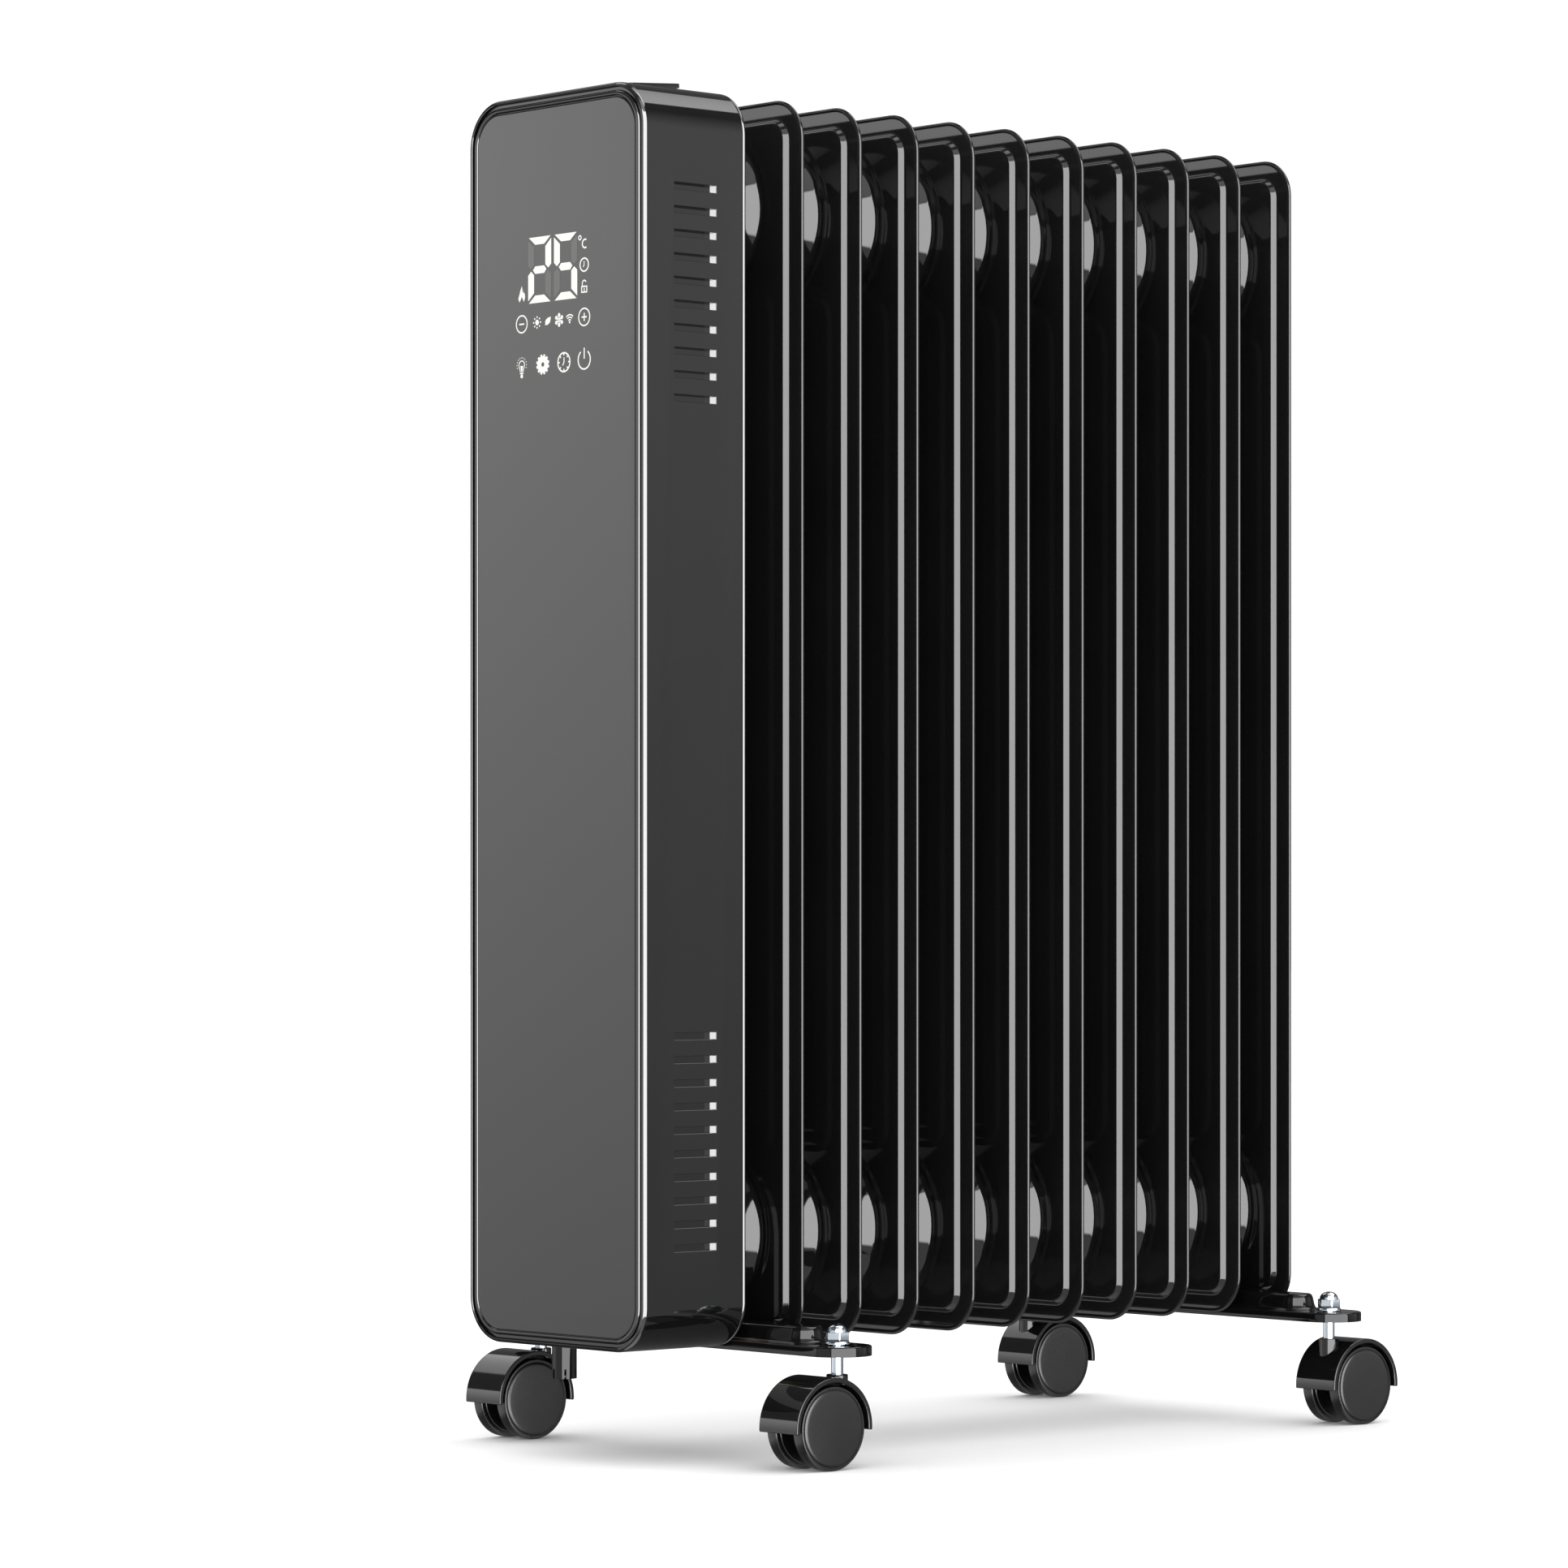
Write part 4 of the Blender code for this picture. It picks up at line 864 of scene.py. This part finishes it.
class Pen:
    """Draws flat symbols in the plane of the glass, in millimetres from the box's centre line."""

    def __init__(self) -> None:
        """Starts an empty sheet."""
        self.bm = bmesh.new()

    def patch(self, points: Iterable[tuple[float, float]]) -> None:
        """Draws a filled outline of (x, z) points."""
        ring = [self.bm.verts.new((x, 0, z)) for x, z in points]
        bmesh.ops.contextual_create(self.bm, geom=ring)

    def disc(self, x: float, z: float, radius: float) -> None:
        """Draws a filled circle."""
        self.band(x, z, radius / 2, radius, 0, 360)

    def bar(self, x: float, z: float, x2: float, z2: float, width: float) -> None:
        """Draws a straight stroke.

        Args:
            x: Where it starts.
            z: Where it starts.
            x2: Where it ends.
            z2: Where it ends.
            width: Its width.
        """
        along = Vector((x2 - x, z2 - z)).normalized()
        across = Vector((-along.y, along.x)) * width / 2
        self.patch(
            [
                (x + across.x, z + across.y),
                (x - across.x, z - across.y),
                (x2 - across.x, z2 - across.y),
                (x2 + across.x, z2 + across.y),
            ]
        )

    def band(
        self, x: float, z: float, radius: float, width: float, start: float, end: float
    ) -> None:
        """Draws an arc.

        Args:
            x: Its centre.
            z: Its centre.
            radius: Radius of its middle line.
            width: Width of the stroke.
            start: Where it starts, in degrees from +X towards +Z.
            end: Where it ends.
        """
        turn = Matrix.Rotation(-math.radians(start), 4, "Y")
        centre = Vector((x, 0, z))
        reach = (radius - width / 2, radius + width / 2)
        ends = [self.bm.verts.new(centre + turn @ Vector((part, 0, 0))) for part in reach]
        edge = self.bm.edges.new(ends)
        full = abs(end - start) >= 360
        bmesh.ops.spin(
            self.bm,
            geom=[*ends, edge],
            cent=centre,
            axis=(0, -1, 0),
            angle=math.radians(end - start),
            steps=max(6, round(abs(end - start) / 12)),
            use_merge=full,
        )

    def spokes(
        self, x: float, z: float, count: int, near: float, far: float, width: float, start: float = 0
    ) -> None:
        """Draws strokes that point away from a centre.

        Args:
            x: The centre.
            z: The centre.
            count: How many strokes, evenly spaced.
            near: Distance of their near ends.
            far: Distance of their far ends.
            width: Their width.
            start: Direction of the first, in degrees from +X towards +Z.
        """
        for index in range(count):
            angle = math.radians(start + 360 * index / count)
            along = Vector((math.cos(angle), math.sin(angle)))
            self.bar(x + along.x * near, z + along.y * near, x + along.x * far, z + along.y * far, width)

    def sheet(self, y: float, thickness: float = 0.03 * MM) -> BMesh:
        """Returns the drawing as a thin solid just in front of a plane.

        Args:
            y: The plane.
            thickness: How far the solid stands in front of it.

        Returns:
            The solid.
        """
        bm = self.bm
        bmesh.ops.remove_doubles(bm, verts=list(bm.verts), dist=0.01)
        bmesh.ops.scale(bm, vec=(MM, 1, MM), verts=list(bm.verts))
        bmesh.ops.translate(bm, vec=(0, y, 0), verts=list(bm.verts))
        grown = bmesh.ops.extrude_face_region(bm, geom=list(bm.faces), use_keep_orig=True)["geom"]
        verts = [item for item in grown if isinstance(item, bmesh.types.BMVert)]
        bmesh.ops.translate(bm, vec=(0, -thickness, 0), verts=verts)
        bmesh.ops.recalc_face_normals(bm, faces=list(bm.faces))
        return bm


@dataclass
class Display:
    """The lit figures and touch symbols behind the glass, in millimetres."""

    digit_width: float = 17.3
    digit_height: float = 31.5
    bar_width: float = 4.4
    bar_height: float = 3.6
    digit_places: tuple[float, float] = (-20.4, -1.0)
    digit_base: float = 554.0
    upper_row: float = 544.6
    lower_row: float = 524.2
    side_column: float = 21.5
    left_column: float = -25.3
    stroke: float = 0.72

    def segments(self, x: float) -> dict[str, list[tuple[float, float]]]:
        """Works out a digit's seven segments.

        Args:
            x: Where the digit starts.

        Returns:
            Each segment's letter and its outline.
        """
        w, h, t, k = self.digit_width, self.digit_height, self.bar_width, self.bar_height
        mid = h / 2
        top = [(0.5, h), (w - 0.5, h), (w - t - 0.9, h - k), (t + 0.9, h - k)]
        left = [(0, h - 1.2), (t, h - k - 1.2), (t, mid + 2.3), (t / 2, mid + 0.5), (0, mid + 2.3)]
        centre = [(t / 2 + 1.4, mid), (t + 0.9, mid + 1.8), (w - t - 0.9, mid + 1.8)]
        centre += [(w - t / 2 - 1.4, mid), (w - t - 0.9, mid - 1.8), (t + 0.9, mid - 1.8)]
        flip_x = lambda outline: [(w - a, b) for a, b in outline]
        flip_z = lambda outline: [(a, h - b) for a, b in outline]
        shapes = {"a": top, "f": left, "g": centre, "b": flip_x(left), "d": flip_z(top)}
        shapes["e"] = flip_z(left)
        shapes["c"] = flip_x(flip_z(left))
        return {
            key: [(x + a, self.digit_base + b) for a, b in outline]
            for key, outline in shapes.items()
        }

    def figures(self, lit: Pen, unlit: Pen) -> None:
        """Draws the temperature.

        Args:
            lit: The sheet of the segments that are on.
            unlit: The sheet of the others.
        """
        for x, on in zip(self.digit_places, ("abged", "afgcd")):
            for key, outline in self.segments(x).items():
                (lit if key in on else unlit).patch(outline)

    def small_symbols(self, pen: Pen) -> None:
        """Draws the unit, the timer, the lock and the flame beside the figures.

        Args:
            pen: The sheet to draw on.
        """
        x = self.side_column
        pen.band(x - 3.2, 582.4, 0.95, 0.6, 0, 360)
        pen.band(x + 0.6, 579.4, 2.0, 0.75, 60, 300)
        pen.band(x, 569.4, 3.1, self.stroke, 0, 360)
        pen.bar(x - 0.1, 571.2, x - 0.1, 569.2, 0.5)
        pen.bar(x - 0.1, 569.3, x - 0.8, 568.3, 0.5)
        for a, b, c, d in ((-2.2, -2.6, 2.2, -2.6), (-2.2, 0.1, 2.2, 0.1), (-1.9, -2.6, -1.9, 0.1)):
            pen.bar(x + a, 559 + b, x + c, 559 + d, 0.65)
        pen.bar(x + 1.9, 556.4, x + 1.9, 559.1, 0.65)
        pen.bar(x, 558.4, x, 556.8, 0.6)
        pen.band(x, 560.6, 1.4, 0.6, 20, 180)
        pen.bar(x - 1.4, 560.6, x - 1.4, 559.1, 0.6)
        f = self.left_column
        flame = [(-2.6, 556.9), (-1.7, 555.2), (-0.9, 556.2), (0.1, 557.9), (1.0, 556.2)]
        flame += [(1.7, 555.3), (2.5, 557.3), (2.3, 559.0), (1.9, 561.0), (1.2, 559.9)]
        flame += [(0.7, 559.5), (0.5, 561.0), (0.1, 562.9), (-0.9, 561.1), (-1.5, 559.4)]
        pen.patch([(f + a, b) for a, b in flame])

    def mode_row(self, pen: Pen) -> None:
        """Draws minus, sun, leaf, snowflake, radio waves and plus.

        Args:
            pen: The sheet to draw on.
        """
        z = self.upper_row
        for x in (self.left_column, self.side_column):
            pen.band(x, z, 4.1, 0.68, 0, 360)
            pen.bar(x - 1.9, z, x + 1.9, z, 0.7)
        pen.bar(self.side_column, z + 0.36, self.side_column, z + 1.95, 0.7)
        pen.bar(self.side_column, z - 0.36, self.side_column, z - 1.95, 0.7)
        pen.disc(-13.7, z, 1.35)
        for index in range(8):
            angle = math.radians(45 * index)
            pen.disc(-13.7 + 2.55 * math.cos(angle), z + 2.55 * math.sin(angle), 0.45)
        leaf = [(-8.0, -1.6), (-6.0, -1.8), (-4.2, -0.8), (-3.6, 0.6), (-3.4, 2.0), (-5.2, 1.8)]
        leaf += [(-6.8, 1.0), (-7.6, 0.0), (-7.4, -1.1)]
        pen.patch([(a, z + b) for a, b in leaf])
        pen.spokes(2.8, z, 6, 0.3, 3.3, 0.75, 30)
        for index in range(6):
            angle = math.radians(30 + 60 * index)
            pen.disc(2.8 + 2.3 * math.cos(angle), z + 2.3 * math.sin(angle), 0.95)
        pen.disc(10.7, z - 1.7, 0.55)
        for radius in (1.4, 2.6, 3.8):
            pen.band(10.7, z - 1.9, radius, 0.6, 48, 132)

    def touch_row(self, pen: Pen) -> None:
        """Draws the lamp, settings, timer and power fields.

        Args:
            pen: The sheet to draw on.
        """
        z = self.lower_row
        x = self.left_column
        pen.band(x, z + 0.7, 2.1, 0.5, -40, 220)
        pen.bar(x - 1.6, z - 0.6, x - 1.0, z - 2.5, 0.5)
        pen.bar(x + 1.6, z - 0.6, x + 1.0, z - 2.5, 0.5)
        pen.patch([(x - 1.0, z + 0.4), (x - 0.4, z - 2.5), (x + 0.4, z - 2.5), (x + 1.0, z + 0.4)])
        pen.bar(x - 1.3, z - 3.2, x + 1.3, z - 3.2, 0.7)
        pen.disc(x, z - 4.6, 0.95)
        for index in range(11):
            angle = math.radians(-20 + 22 * index)
            pen.disc(x + 3.6 * math.cos(angle), z + 0.7 + 3.6 * math.sin(angle), 0.28)
        gear = self.left_column + 15.9
        pen.band(gear, z, 2.6, 3.0, 0, 360)
        pen.spokes(gear, z, 12, 3.9, 4.85, 1.3, 15)
        timer = self.left_column + 31.7
        pen.band(timer, z, 4.5, 0.75, 0, 360)
        pen.spokes(timer, z, 8, 3.2, 4.2, 0.75)
        pen.bar(timer + 0.1, z + 2.3, timer + 0.1, z - 0.1, 0.6)
        pen.bar(timer + 0.1, z, timer - 0.9, z - 1.5, 0.6)
        power = self.side_column
        pen.band(power, z + 0.2, 4.5, 0.75, 124, 416)
        pen.bar(power, z + 6.6 - 0.8, power, z + 0.6, 0.75)

    def build(self) -> None:
        """Makes the lit and the unlit symbols."""
        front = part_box("front_bezel")[0].y + 0.38 * MM
        lit, unlit = Pen(), Pen()
        self.figures(lit, unlit)
        self.small_symbols(lit)
        self.mode_row(lit)
        self.touch_row(lit)
        piece("display_lit", lit.sheet(front), Palette.lit)
        piece("display_unlit", unlit.sheet(front), Palette.unlit)


@dataclass
class FootBar:
    """One pressed foot bar with its rib, and the clamp that holds it."""

    end: End
    rim: Profile = (
        (0.0, 0.0), (0.0, 0.4), (0.0, 3.9), (0.10, 4.30), (0.36, 4.62), (0.80, 4.78), (1.30, 4.80),
        (1.90, 4.80),
    )
    hollow: Profile = ((0.0, 0.0), (1.3, 0.0), (1.5, -3.3), (2.0, -3.3))
    rib: Profile = (
        (0.0, 4.0), (0.0, 4.82), (0.9, 4.94), (1.7, 5.35), (2.3, 6.10), (2.75, 7.3), (3.45, 10.4),
        (3.80, 11.5), (4.35, 12.3), (5.10, 12.72), (5.80, 12.8), (6.50, 12.8),
    )
    rib_margin: float = 27.4 * MM
    rib_width: float = 25.5 * MM

    def build(self) -> None:
        """Makes the bar and its clamp."""
        end = self.end.name.lower()
        node = f"foot_bar_{end}"
        low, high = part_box(node)
        width, depth = high.x - low.x, high.y - low.y
        bar = raised_stadium(width, depth, in_mm(self.rim), closed=False)
        under = bmesh.new()
        terrace(under, stadium_face(under, width, depth), in_mm(self.hollow))
        moved(under, Matrix.Rotation(math.pi, 4, "X"))
        rib = raised_stadium(width - 2 * self.rib_margin, self.rib_width, in_mm(self.rib))
        whole = joined([bar, under, rib])
        bmesh.ops.remove_doubles(whole, verts=list(whole.verts), dist=1e-6)
        moved(whole, Matrix.Translation((0, (low.y + high.y) / 2, low.z)))
        piece(f"{node}_pressed", whole, Palette.foot, nodes=[node], smooth=42)
        refined(f"u_bolt_{end}", Palette.enamel, 0)
        for side in Side:
            refined(f"u_bolt_nut_{end}_{side.name.lower()}", Palette.zinc, 0.0004)


@dataclass
class Caster:
    """One twin-wheel caster with its stem and its domed nut. Profiles are in millimetres."""

    end: End
    side: Side
    hood_radius: float = 24.0 * MM
    hood_wall: float = 2.4 * MM
    hood_tuck: float = math.radians(4.0)
    hood_half_width: float = 13.5 * MM
    web_half_width: float = 4.5 * MM
    socket_radius: float = 5.15 * MM
    wheel_profile: Profile = (
        (2.15, 5.5), (17.2, 5.5), (17.5, 5.8), (18.8, 5.8), (19.5, 5.95), (19.9, 6.35), (20.0, 6.9),
        (20.0, 11.4), (19.9, 11.95), (19.6, 12.35), (19.15, 12.5), (18.75, 12.45), (18.6, 12.15),
        (18.3, 12.15), (18.15, 12.5), (17.8, 12.72), (16.5, 12.86), (13.0, 13.06), (8.0, 13.22),
        (3.0, 13.3), (0.0, 13.3), (0.0, 10.8), (2.15, 10.8),
    )

    def __post_init__(self) -> None:
        """Reads the caster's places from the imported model."""
        self.tag = f"{self.end.name.lower()}_{self.side.name.lower()}"
        low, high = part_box(f"caster_axle_{self.tag}")
        self.axle = (low + high) / 2
        low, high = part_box(f"caster_stem_{self.tag}")
        self.stem = (low + high) / 2
        self.stem_low, self.stem_high = low.z, high.z
        self.socket_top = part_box(f"caster_hood_{self.tag}")[1].z
        self.body = f"caster_{self.tag}"

    def hood(self) -> None:
        """Makes the arched hood, the web between the wheels and the stem's socket."""
        arch = bmesh.new()
        half, outer, inner = self.hood_half_width, self.hood_radius, self.hood_radius - self.hood_wall
        corners = [(-half, outer), (half, outer), (half, inner), (-half, inner)]
        tuck = Matrix.Rotation(-self.hood_tuck, 3, "X")
        ring = [arch.verts.new(tuck @ Vector((x, radius, 0))) for x, radius in corners]
        edges = [arch.edges.new((ring[index], ring[(index + 1) % 4])) for index in range(4)]
        bmesh.ops.spin(
            arch,
            geom=[*ring, *edges],
            cent=(0, 0, 0),
            axis=(1, 0, 0),
            angle=math.pi + 2 * self.hood_tuck,
            steps=42,
        )
        caps = [edge for edge in arch.edges if len(edge.link_faces) == 1]
        bmesh.ops.holes_fill(arch, edges=caps, sides=4)
        bmesh.ops.recalc_face_normals(arch, faces=list(arch.faces))
        moved(arch, Matrix.Translation(self.axle))
        item = piece(
            f"hood_arch_{self.tag}",
            arch,
            Palette.plastic,
            self.body,
            [f"caster_hood_{self.tag}"],
            smooth=35,
        )
        soften(item, 0.55 * MM, 3)
        reach = inner + 0.6 * MM
        outline = [
            (reach * math.cos(math.radians(angle)), reach * math.sin(math.radians(angle)))
            for angle in range(8, 173, 11)
        ]
        outline += in_mm([(-13, -1), (-3.2, -10.5), (3.2, -10.5), (13, -1)])
        web = slab(outline, -self.web_half_width, self.web_half_width)
        moved(web, Matrix.Translation(self.axle))
        soften(piece(f"hood_web_{self.tag}", web, Palette.plastic, self.body), 0.5 * MM)
        top = (self.socket_top - self.stem.z) / MM
        low = (self.axle.z + 6 * MM - self.stem.z) / MM
        radius = self.socket_radius / MM
        profile = [(3.1, top - 0.7), (3.4, top - 0.05), (4.2, top), (radius - 0.35, top)]
        profile += [(radius, top - 0.35), (radius, low), (3.1, low)]
        socket = turned(in_mm(profile), 40, self.stem, "Z")
        piece(f"hood_socket_{self.tag}", socket, Palette.plastic, self.body, smooth=40)

    def wheels(self) -> None:
        """Makes the two wheels and their axle."""
        for side in Side:
            bm = turned(in_mm(self.wheel_profile), 72, self.axle, "X" if side is Side.RIGHT else "-X")
            node = f"wheel_{self.tag}_{side.name.lower()}"
            piece(f"{node}_moulded", bm, Palette.satin, node, [node], smooth=30)
        refined(f"caster_axle_{self.tag}", Palette.zinc, 0.0002, self.body)

    def fastening(self) -> None:
        """Makes the stem and the domed nut with its flange."""
        low, high = self.stem_low - self.stem.z, self.stem_high - self.stem.z
        r = 2.95 * MM
        shaft = [(0, high), (r - 0.4 * MM, high), (r, high - 0.5 * MM)]
        shaft += [(r, low + 0.4 * MM), (r - 0.4 * MM, low), (0, low)]
        bm = turned(shaft, 40, self.stem, "Z")
        piece(f"stem_turned_{self.tag}", bm, Palette.zinc, nodes=[f"caster_stem_{self.tag}"])
        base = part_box(f"cap_nut_{self.tag}")[0].z
        at = Vector((self.stem.x, self.stem.y, base))
        flange = [(0, 0), (6.1, 0), (6.35, 0.25), (6.35, 0.75), (6.0, 1.15), (5.3, 1.7), (0, 1.9)]
        dome = [(0, 5.5), (4.75, 5.5), (4.72, 6.4), (4.45, 7.4), (3.8, 8.4), (2.7, 9.2), (1.4, 9.65)]
        dome += [(0, 9.75)]
        hexagon = bmesh.new()
        bmesh.ops.create_cone(
            hexagon, cap_ends=True, segments=6, radius1=5.9 * MM, radius2=5.9 * MM, depth=4.6 * MM
        )
        moved(hexagon, Matrix.Translation(at + Vector((0, 0, 3.6 * MM))))
        bmesh.ops.bevel(
            hexagon,
            geom=list(hexagon.edges),
            offset=0.25 * MM,
            affect="EDGES",
            segments=2,
            profile=0.5,
            material=-1,
        )
        rounds = [turned(in_mm(part), 48, at, "Z") for part in (flange, dome)]
        bm = joined([hexagon, *rounds])
        piece(f"nut_domed_{self.tag}", bm, Palette.zinc, nodes=[f"cap_nut_{self.tag}"], smooth=40)

    def build(self) -> None:
        """Makes the whole caster."""
        self.hood()
        self.wheels()
        self.fastening()


class Fittings:
    """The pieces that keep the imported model's shape: the sealing, fixing and inner ones."""

    rounded: dict[str, tuple[Finish, float]] = {
        "cord_inlet": (Palette.rubber, 0.0005),
        "element_flange": (Palette.brass, 0.0006),
        "mounting_stud": (Palette.zinc, 0.0004),
        "oil_filler_plug": (Palette.zinc, 0.0004),
        "thermal_cutout": (Palette.ceramic, 0.0004),
        "heating_element": (Palette.steel, 0.0),
        "room_sensor": (Palette.rubber, 0.0),
        "terminal_block": (Palette.cream, 0.0004),
        "tip_over_switch": (Palette.rubber, 0.0004),
        "power_board": (Palette.board, 0.0003),
    }

    def build(self) -> None:
        """Rounds the fittings, and dresses every CAD node that still shows."""
        for node, (finish, width) in self.rounded.items():
            refined(node, finish, width)
        slots = {row["node"]: row["material_slot"] for row in frame["record"]["subparts"]}
        for name, node in frame["nodes"].items():
            node.data.materials.clear()
            node.data.materials.append(Palette.get(SLOT_FINISH[slots[name]]))


@dataclass(frozen=True)
class SoftBox:
    """A patch of the surroundings that shows in glossy surfaces. Angles are in degrees.

    Azimuths run from +X towards +Y, and elevations upwards from the horizon.
    """

    azimuth: tuple[float, float]
    elevation: tuple[float, float]
    strength: tuple[float, float]
    blur: tuple[float, float, float] = (2.0, 2.0, 2.0)
    along_elevation: bool = False


class Surroundings:
    """The world: even and white for the eye and the floor, soft boxes for the gloss."""

    boxes: tuple[SoftBox, ...] = (
        SoftBox((-62.0, 24.0), (-24.0, 35.0), (8.8, 8.8), (2.0, 3.0, 2.0)),
        SoftBox((-62.0, 19.0), (35.0, 62.0), (1.6, 1.6)),
        SoftBox((-62.0, 20.0), (-60.0, -24.0), (0.7, 0.7)),
        SoftBox((-167.0, -112.0), (-30.0, 10.6), (1.1, 2.4), (4.0, 2.0, 1.0), True),
        SoftBox((-113.0, -62.0), (-35.0, 24.0), (0.9, 0.9), (4.0, 4.0, 8.0)),
        SoftBox((22.0, 74.0), (-40.0, 22.0), (0.42, 0.92), (8.0, 20.0, 24.0), True),
        SoftBox((20.0, 128.0), (44.4, 80.0), (7.0, 0.5), (6.0, 1.0, 4.0)),
        SoftBox((-180.0, 180.0), (78.0, 91.0), (2.3, 2.3), (0.1, 2.0, 0.1)),
        SoftBox((150.0, 184.0), (32.0, 62.0), (1.7, 1.7)),
        SoftBox((-184.0, -150.0), (32.0, 62.0), (1.7, 1.7)),
        SoftBox((-180.0, 180.0), (-91.0, -60.0), (0.9, 0.9), (0.1, 2.0, 4.0)),
    )
    rest: float = 0.16
    fade: tuple[float, float] = (-5.0, 8.0)
    seen: float = 1.06
    lighting: float = 1.6

    def __init__(self) -> None:
        """Makes an empty world."""
        self.world = bpy.data.worlds.new("studio")
        self.world.use_nodes = True
        self.nodes = self.world.node_tree.nodes
        self.links = self.world.node_tree.links

    def ranged(self, source: object, low: float, high: float, start: float, end: float) -> object:
        """Maps a value from one range to another, and keeps it inside.

        Args:
            source: The socket that holds the value.
            low: Start of the value's range.
            high: End of it.
            start: Result at the start.
            end: Result at the end.

        Returns:
            The socket that holds the result.
        """
        node = self.nodes.new("ShaderNodeMapRange")
        node.inputs["From Min"].default_value = low
        node.inputs["From Max"].default_value = high
        node.inputs["To Min"].default_value = start
        node.inputs["To Max"].default_value = end
        self.links.new(source, node.inputs["Value"])
        return node.outputs["Result"]

    def math(self, kind: str, first: object, second: object | None = None) -> object:
        """Combines two values with a Math node.

        Args:
            kind: The node's operation.
            first: A socket or a constant.
            second: A socket or a constant, where the operation takes two.

        Returns:
            The socket that holds the result.
        """
        node = self.nodes.new("ShaderNodeMath")
        node.operation = kind
        for socket, value in zip(node.inputs, (first, second)):
            if isinstance(value, (int, float)):
                socket.default_value = value
            elif value is not None:
                self.links.new(value, socket)
        return node.outputs[0]

    def patch(self, box: SoftBox, azimuth: object, elevation: object) -> object:
        """Returns the radiance that one soft box adds.

        Args:
            box: The soft box.
            azimuth: The direction's azimuth, in degrees.
            elevation: Its elevation, in degrees.

        Returns:
            The socket that holds the radiance.
        """
        side, foot, top = box.blur
        west, east = box.azimuth
        low, high = box.elevation
        edges = [
            self.ranged(azimuth, west, west + side, 0.0, 1.0),
            self.ranged(azimuth, east - side, east, 1.0, 0.0),
            self.ranged(elevation, low, low + foot, 0.0, 1.0),
            self.ranged(elevation, high - top / 2, high + top / 2, 1.0, 0.0),
        ]
        if box.along_elevation:
            total = self.ranged(elevation, *self.fade, *box.strength)
        else:
            total = self.ranged(azimuth, west, east, *box.strength)
        for edge in edges:
            total = self.math("MULTIPLY", total, edge)
        return total

    def build(self) -> None:
        """Wires the world."""
        place = self.nodes.new("ShaderNodeTexCoord").outputs["Generated"]
        turn = self.nodes.new("ShaderNodeTexGradient")
        turn.gradient_type = "RADIAL"
        self.links.new(place, turn.inputs["Vector"])
        azimuth = self.ranged(turn.outputs["Fac"], 0.0, 1.0, -180.0, 180.0)
        apart = self.nodes.new("ShaderNodeSeparateXYZ")
        self.links.new(place, apart.inputs["Vector"])
        rise = self.math("ARCSINE", apart.outputs["Z"])
        elevation = self.math("DEGREES", rise)
        total: object = self.rest
        for box in self.boxes:
            total = self.math("ADD", self.patch(box, azimuth, elevation), total)
        path = self.nodes.new("ShaderNodeLightPath")
        shares = [
            self.math("MULTIPLY", path.outputs["Is Glossy Ray"], total),
            self.math("MULTIPLY", path.outputs["Is Camera Ray"], self.seen),
        ]
        both = self.math("ADD", *shares)
        either = self.math("ADD", path.outputs["Is Glossy Ray"], path.outputs["Is Camera Ray"])
        others = self.math("MULTIPLY", self.math("SUBTRACT", 1.0, either), self.lighting)
        strength = self.math("ADD", both, others)
        background = self.nodes["Background"]
        background.inputs["Color"].default_value = (1.0, 1.0, 1.0, 1.0)
        self.links.new(strength, background.inputs["Strength"])
        bpy.context.scene.world = self.world


@dataclass
class Studio:
    """Floor, light and camera."""

    azimuth: float = 48.184
    standoff: tuple[float, float] = (2.0578, 1.7528)
    eye: float = 0.26585
    lens: float = 132.435
    shift: float = 0.0770

    def floor(self) -> None:
        """Lays the light-coloured floor."""
        bm = bmesh.new()
        bmesh.ops.create_grid(bm, x_segments=1, y_segments=1, size=15.0)
        mesh = bpy.data.meshes.new("studio_floor")
        bm.to_mesh(mesh)
        bm.free()
        mesh.materials.append(Palette.get(Palette.floor))
        item = bpy.data.objects.new("studio_floor", mesh)
        bpy.context.scene.collection.objects.link(item)
        item.visible_glossy = False

    def camera(self) -> None:
        """Sets the camera, level and at the right front."""
        low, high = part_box("housing_shell")
        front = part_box("front_bezel")[0].y
        data = bpy.data.cameras.new("camera")
        data.lens = self.lens
        data.sensor_width = 36.0
        data.shift_y = self.shift
        data.clip_start = 0.05
        data.clip_end = 100.0
        item = bpy.data.objects.new("camera", data)
        item.location = (high.x + self.standoff[0], front - self.standoff[1], self.eye)
        item.rotation_euler = (math.pi / 2, 0.0, math.radians(self.azimuth))
        bpy.context.scene.collection.objects.link(item)
        bpy.context.scene.camera = item
        bpy.context.scene.view_settings.view_transform = "Standard"

    def build(self) -> None:
        """Makes the whole studio."""
        self.floor()
        Surroundings().build()
        self.camera()


def main() -> None:
    logging.basicConfig(level=logging.INFO, format="%(name)s %(message)s")
    steps: list[Callable[[], None]] = [Studio().build, FinStack().build, ControlBox().build]
    steps += [Display().build, Fittings().build]
    steps += [FootBar(end).build for end in End]
    steps += [Caster(end, side).build for end in End for side in Side]
    for step in steps:
        step()


if __name__ == "__main__":
    main()
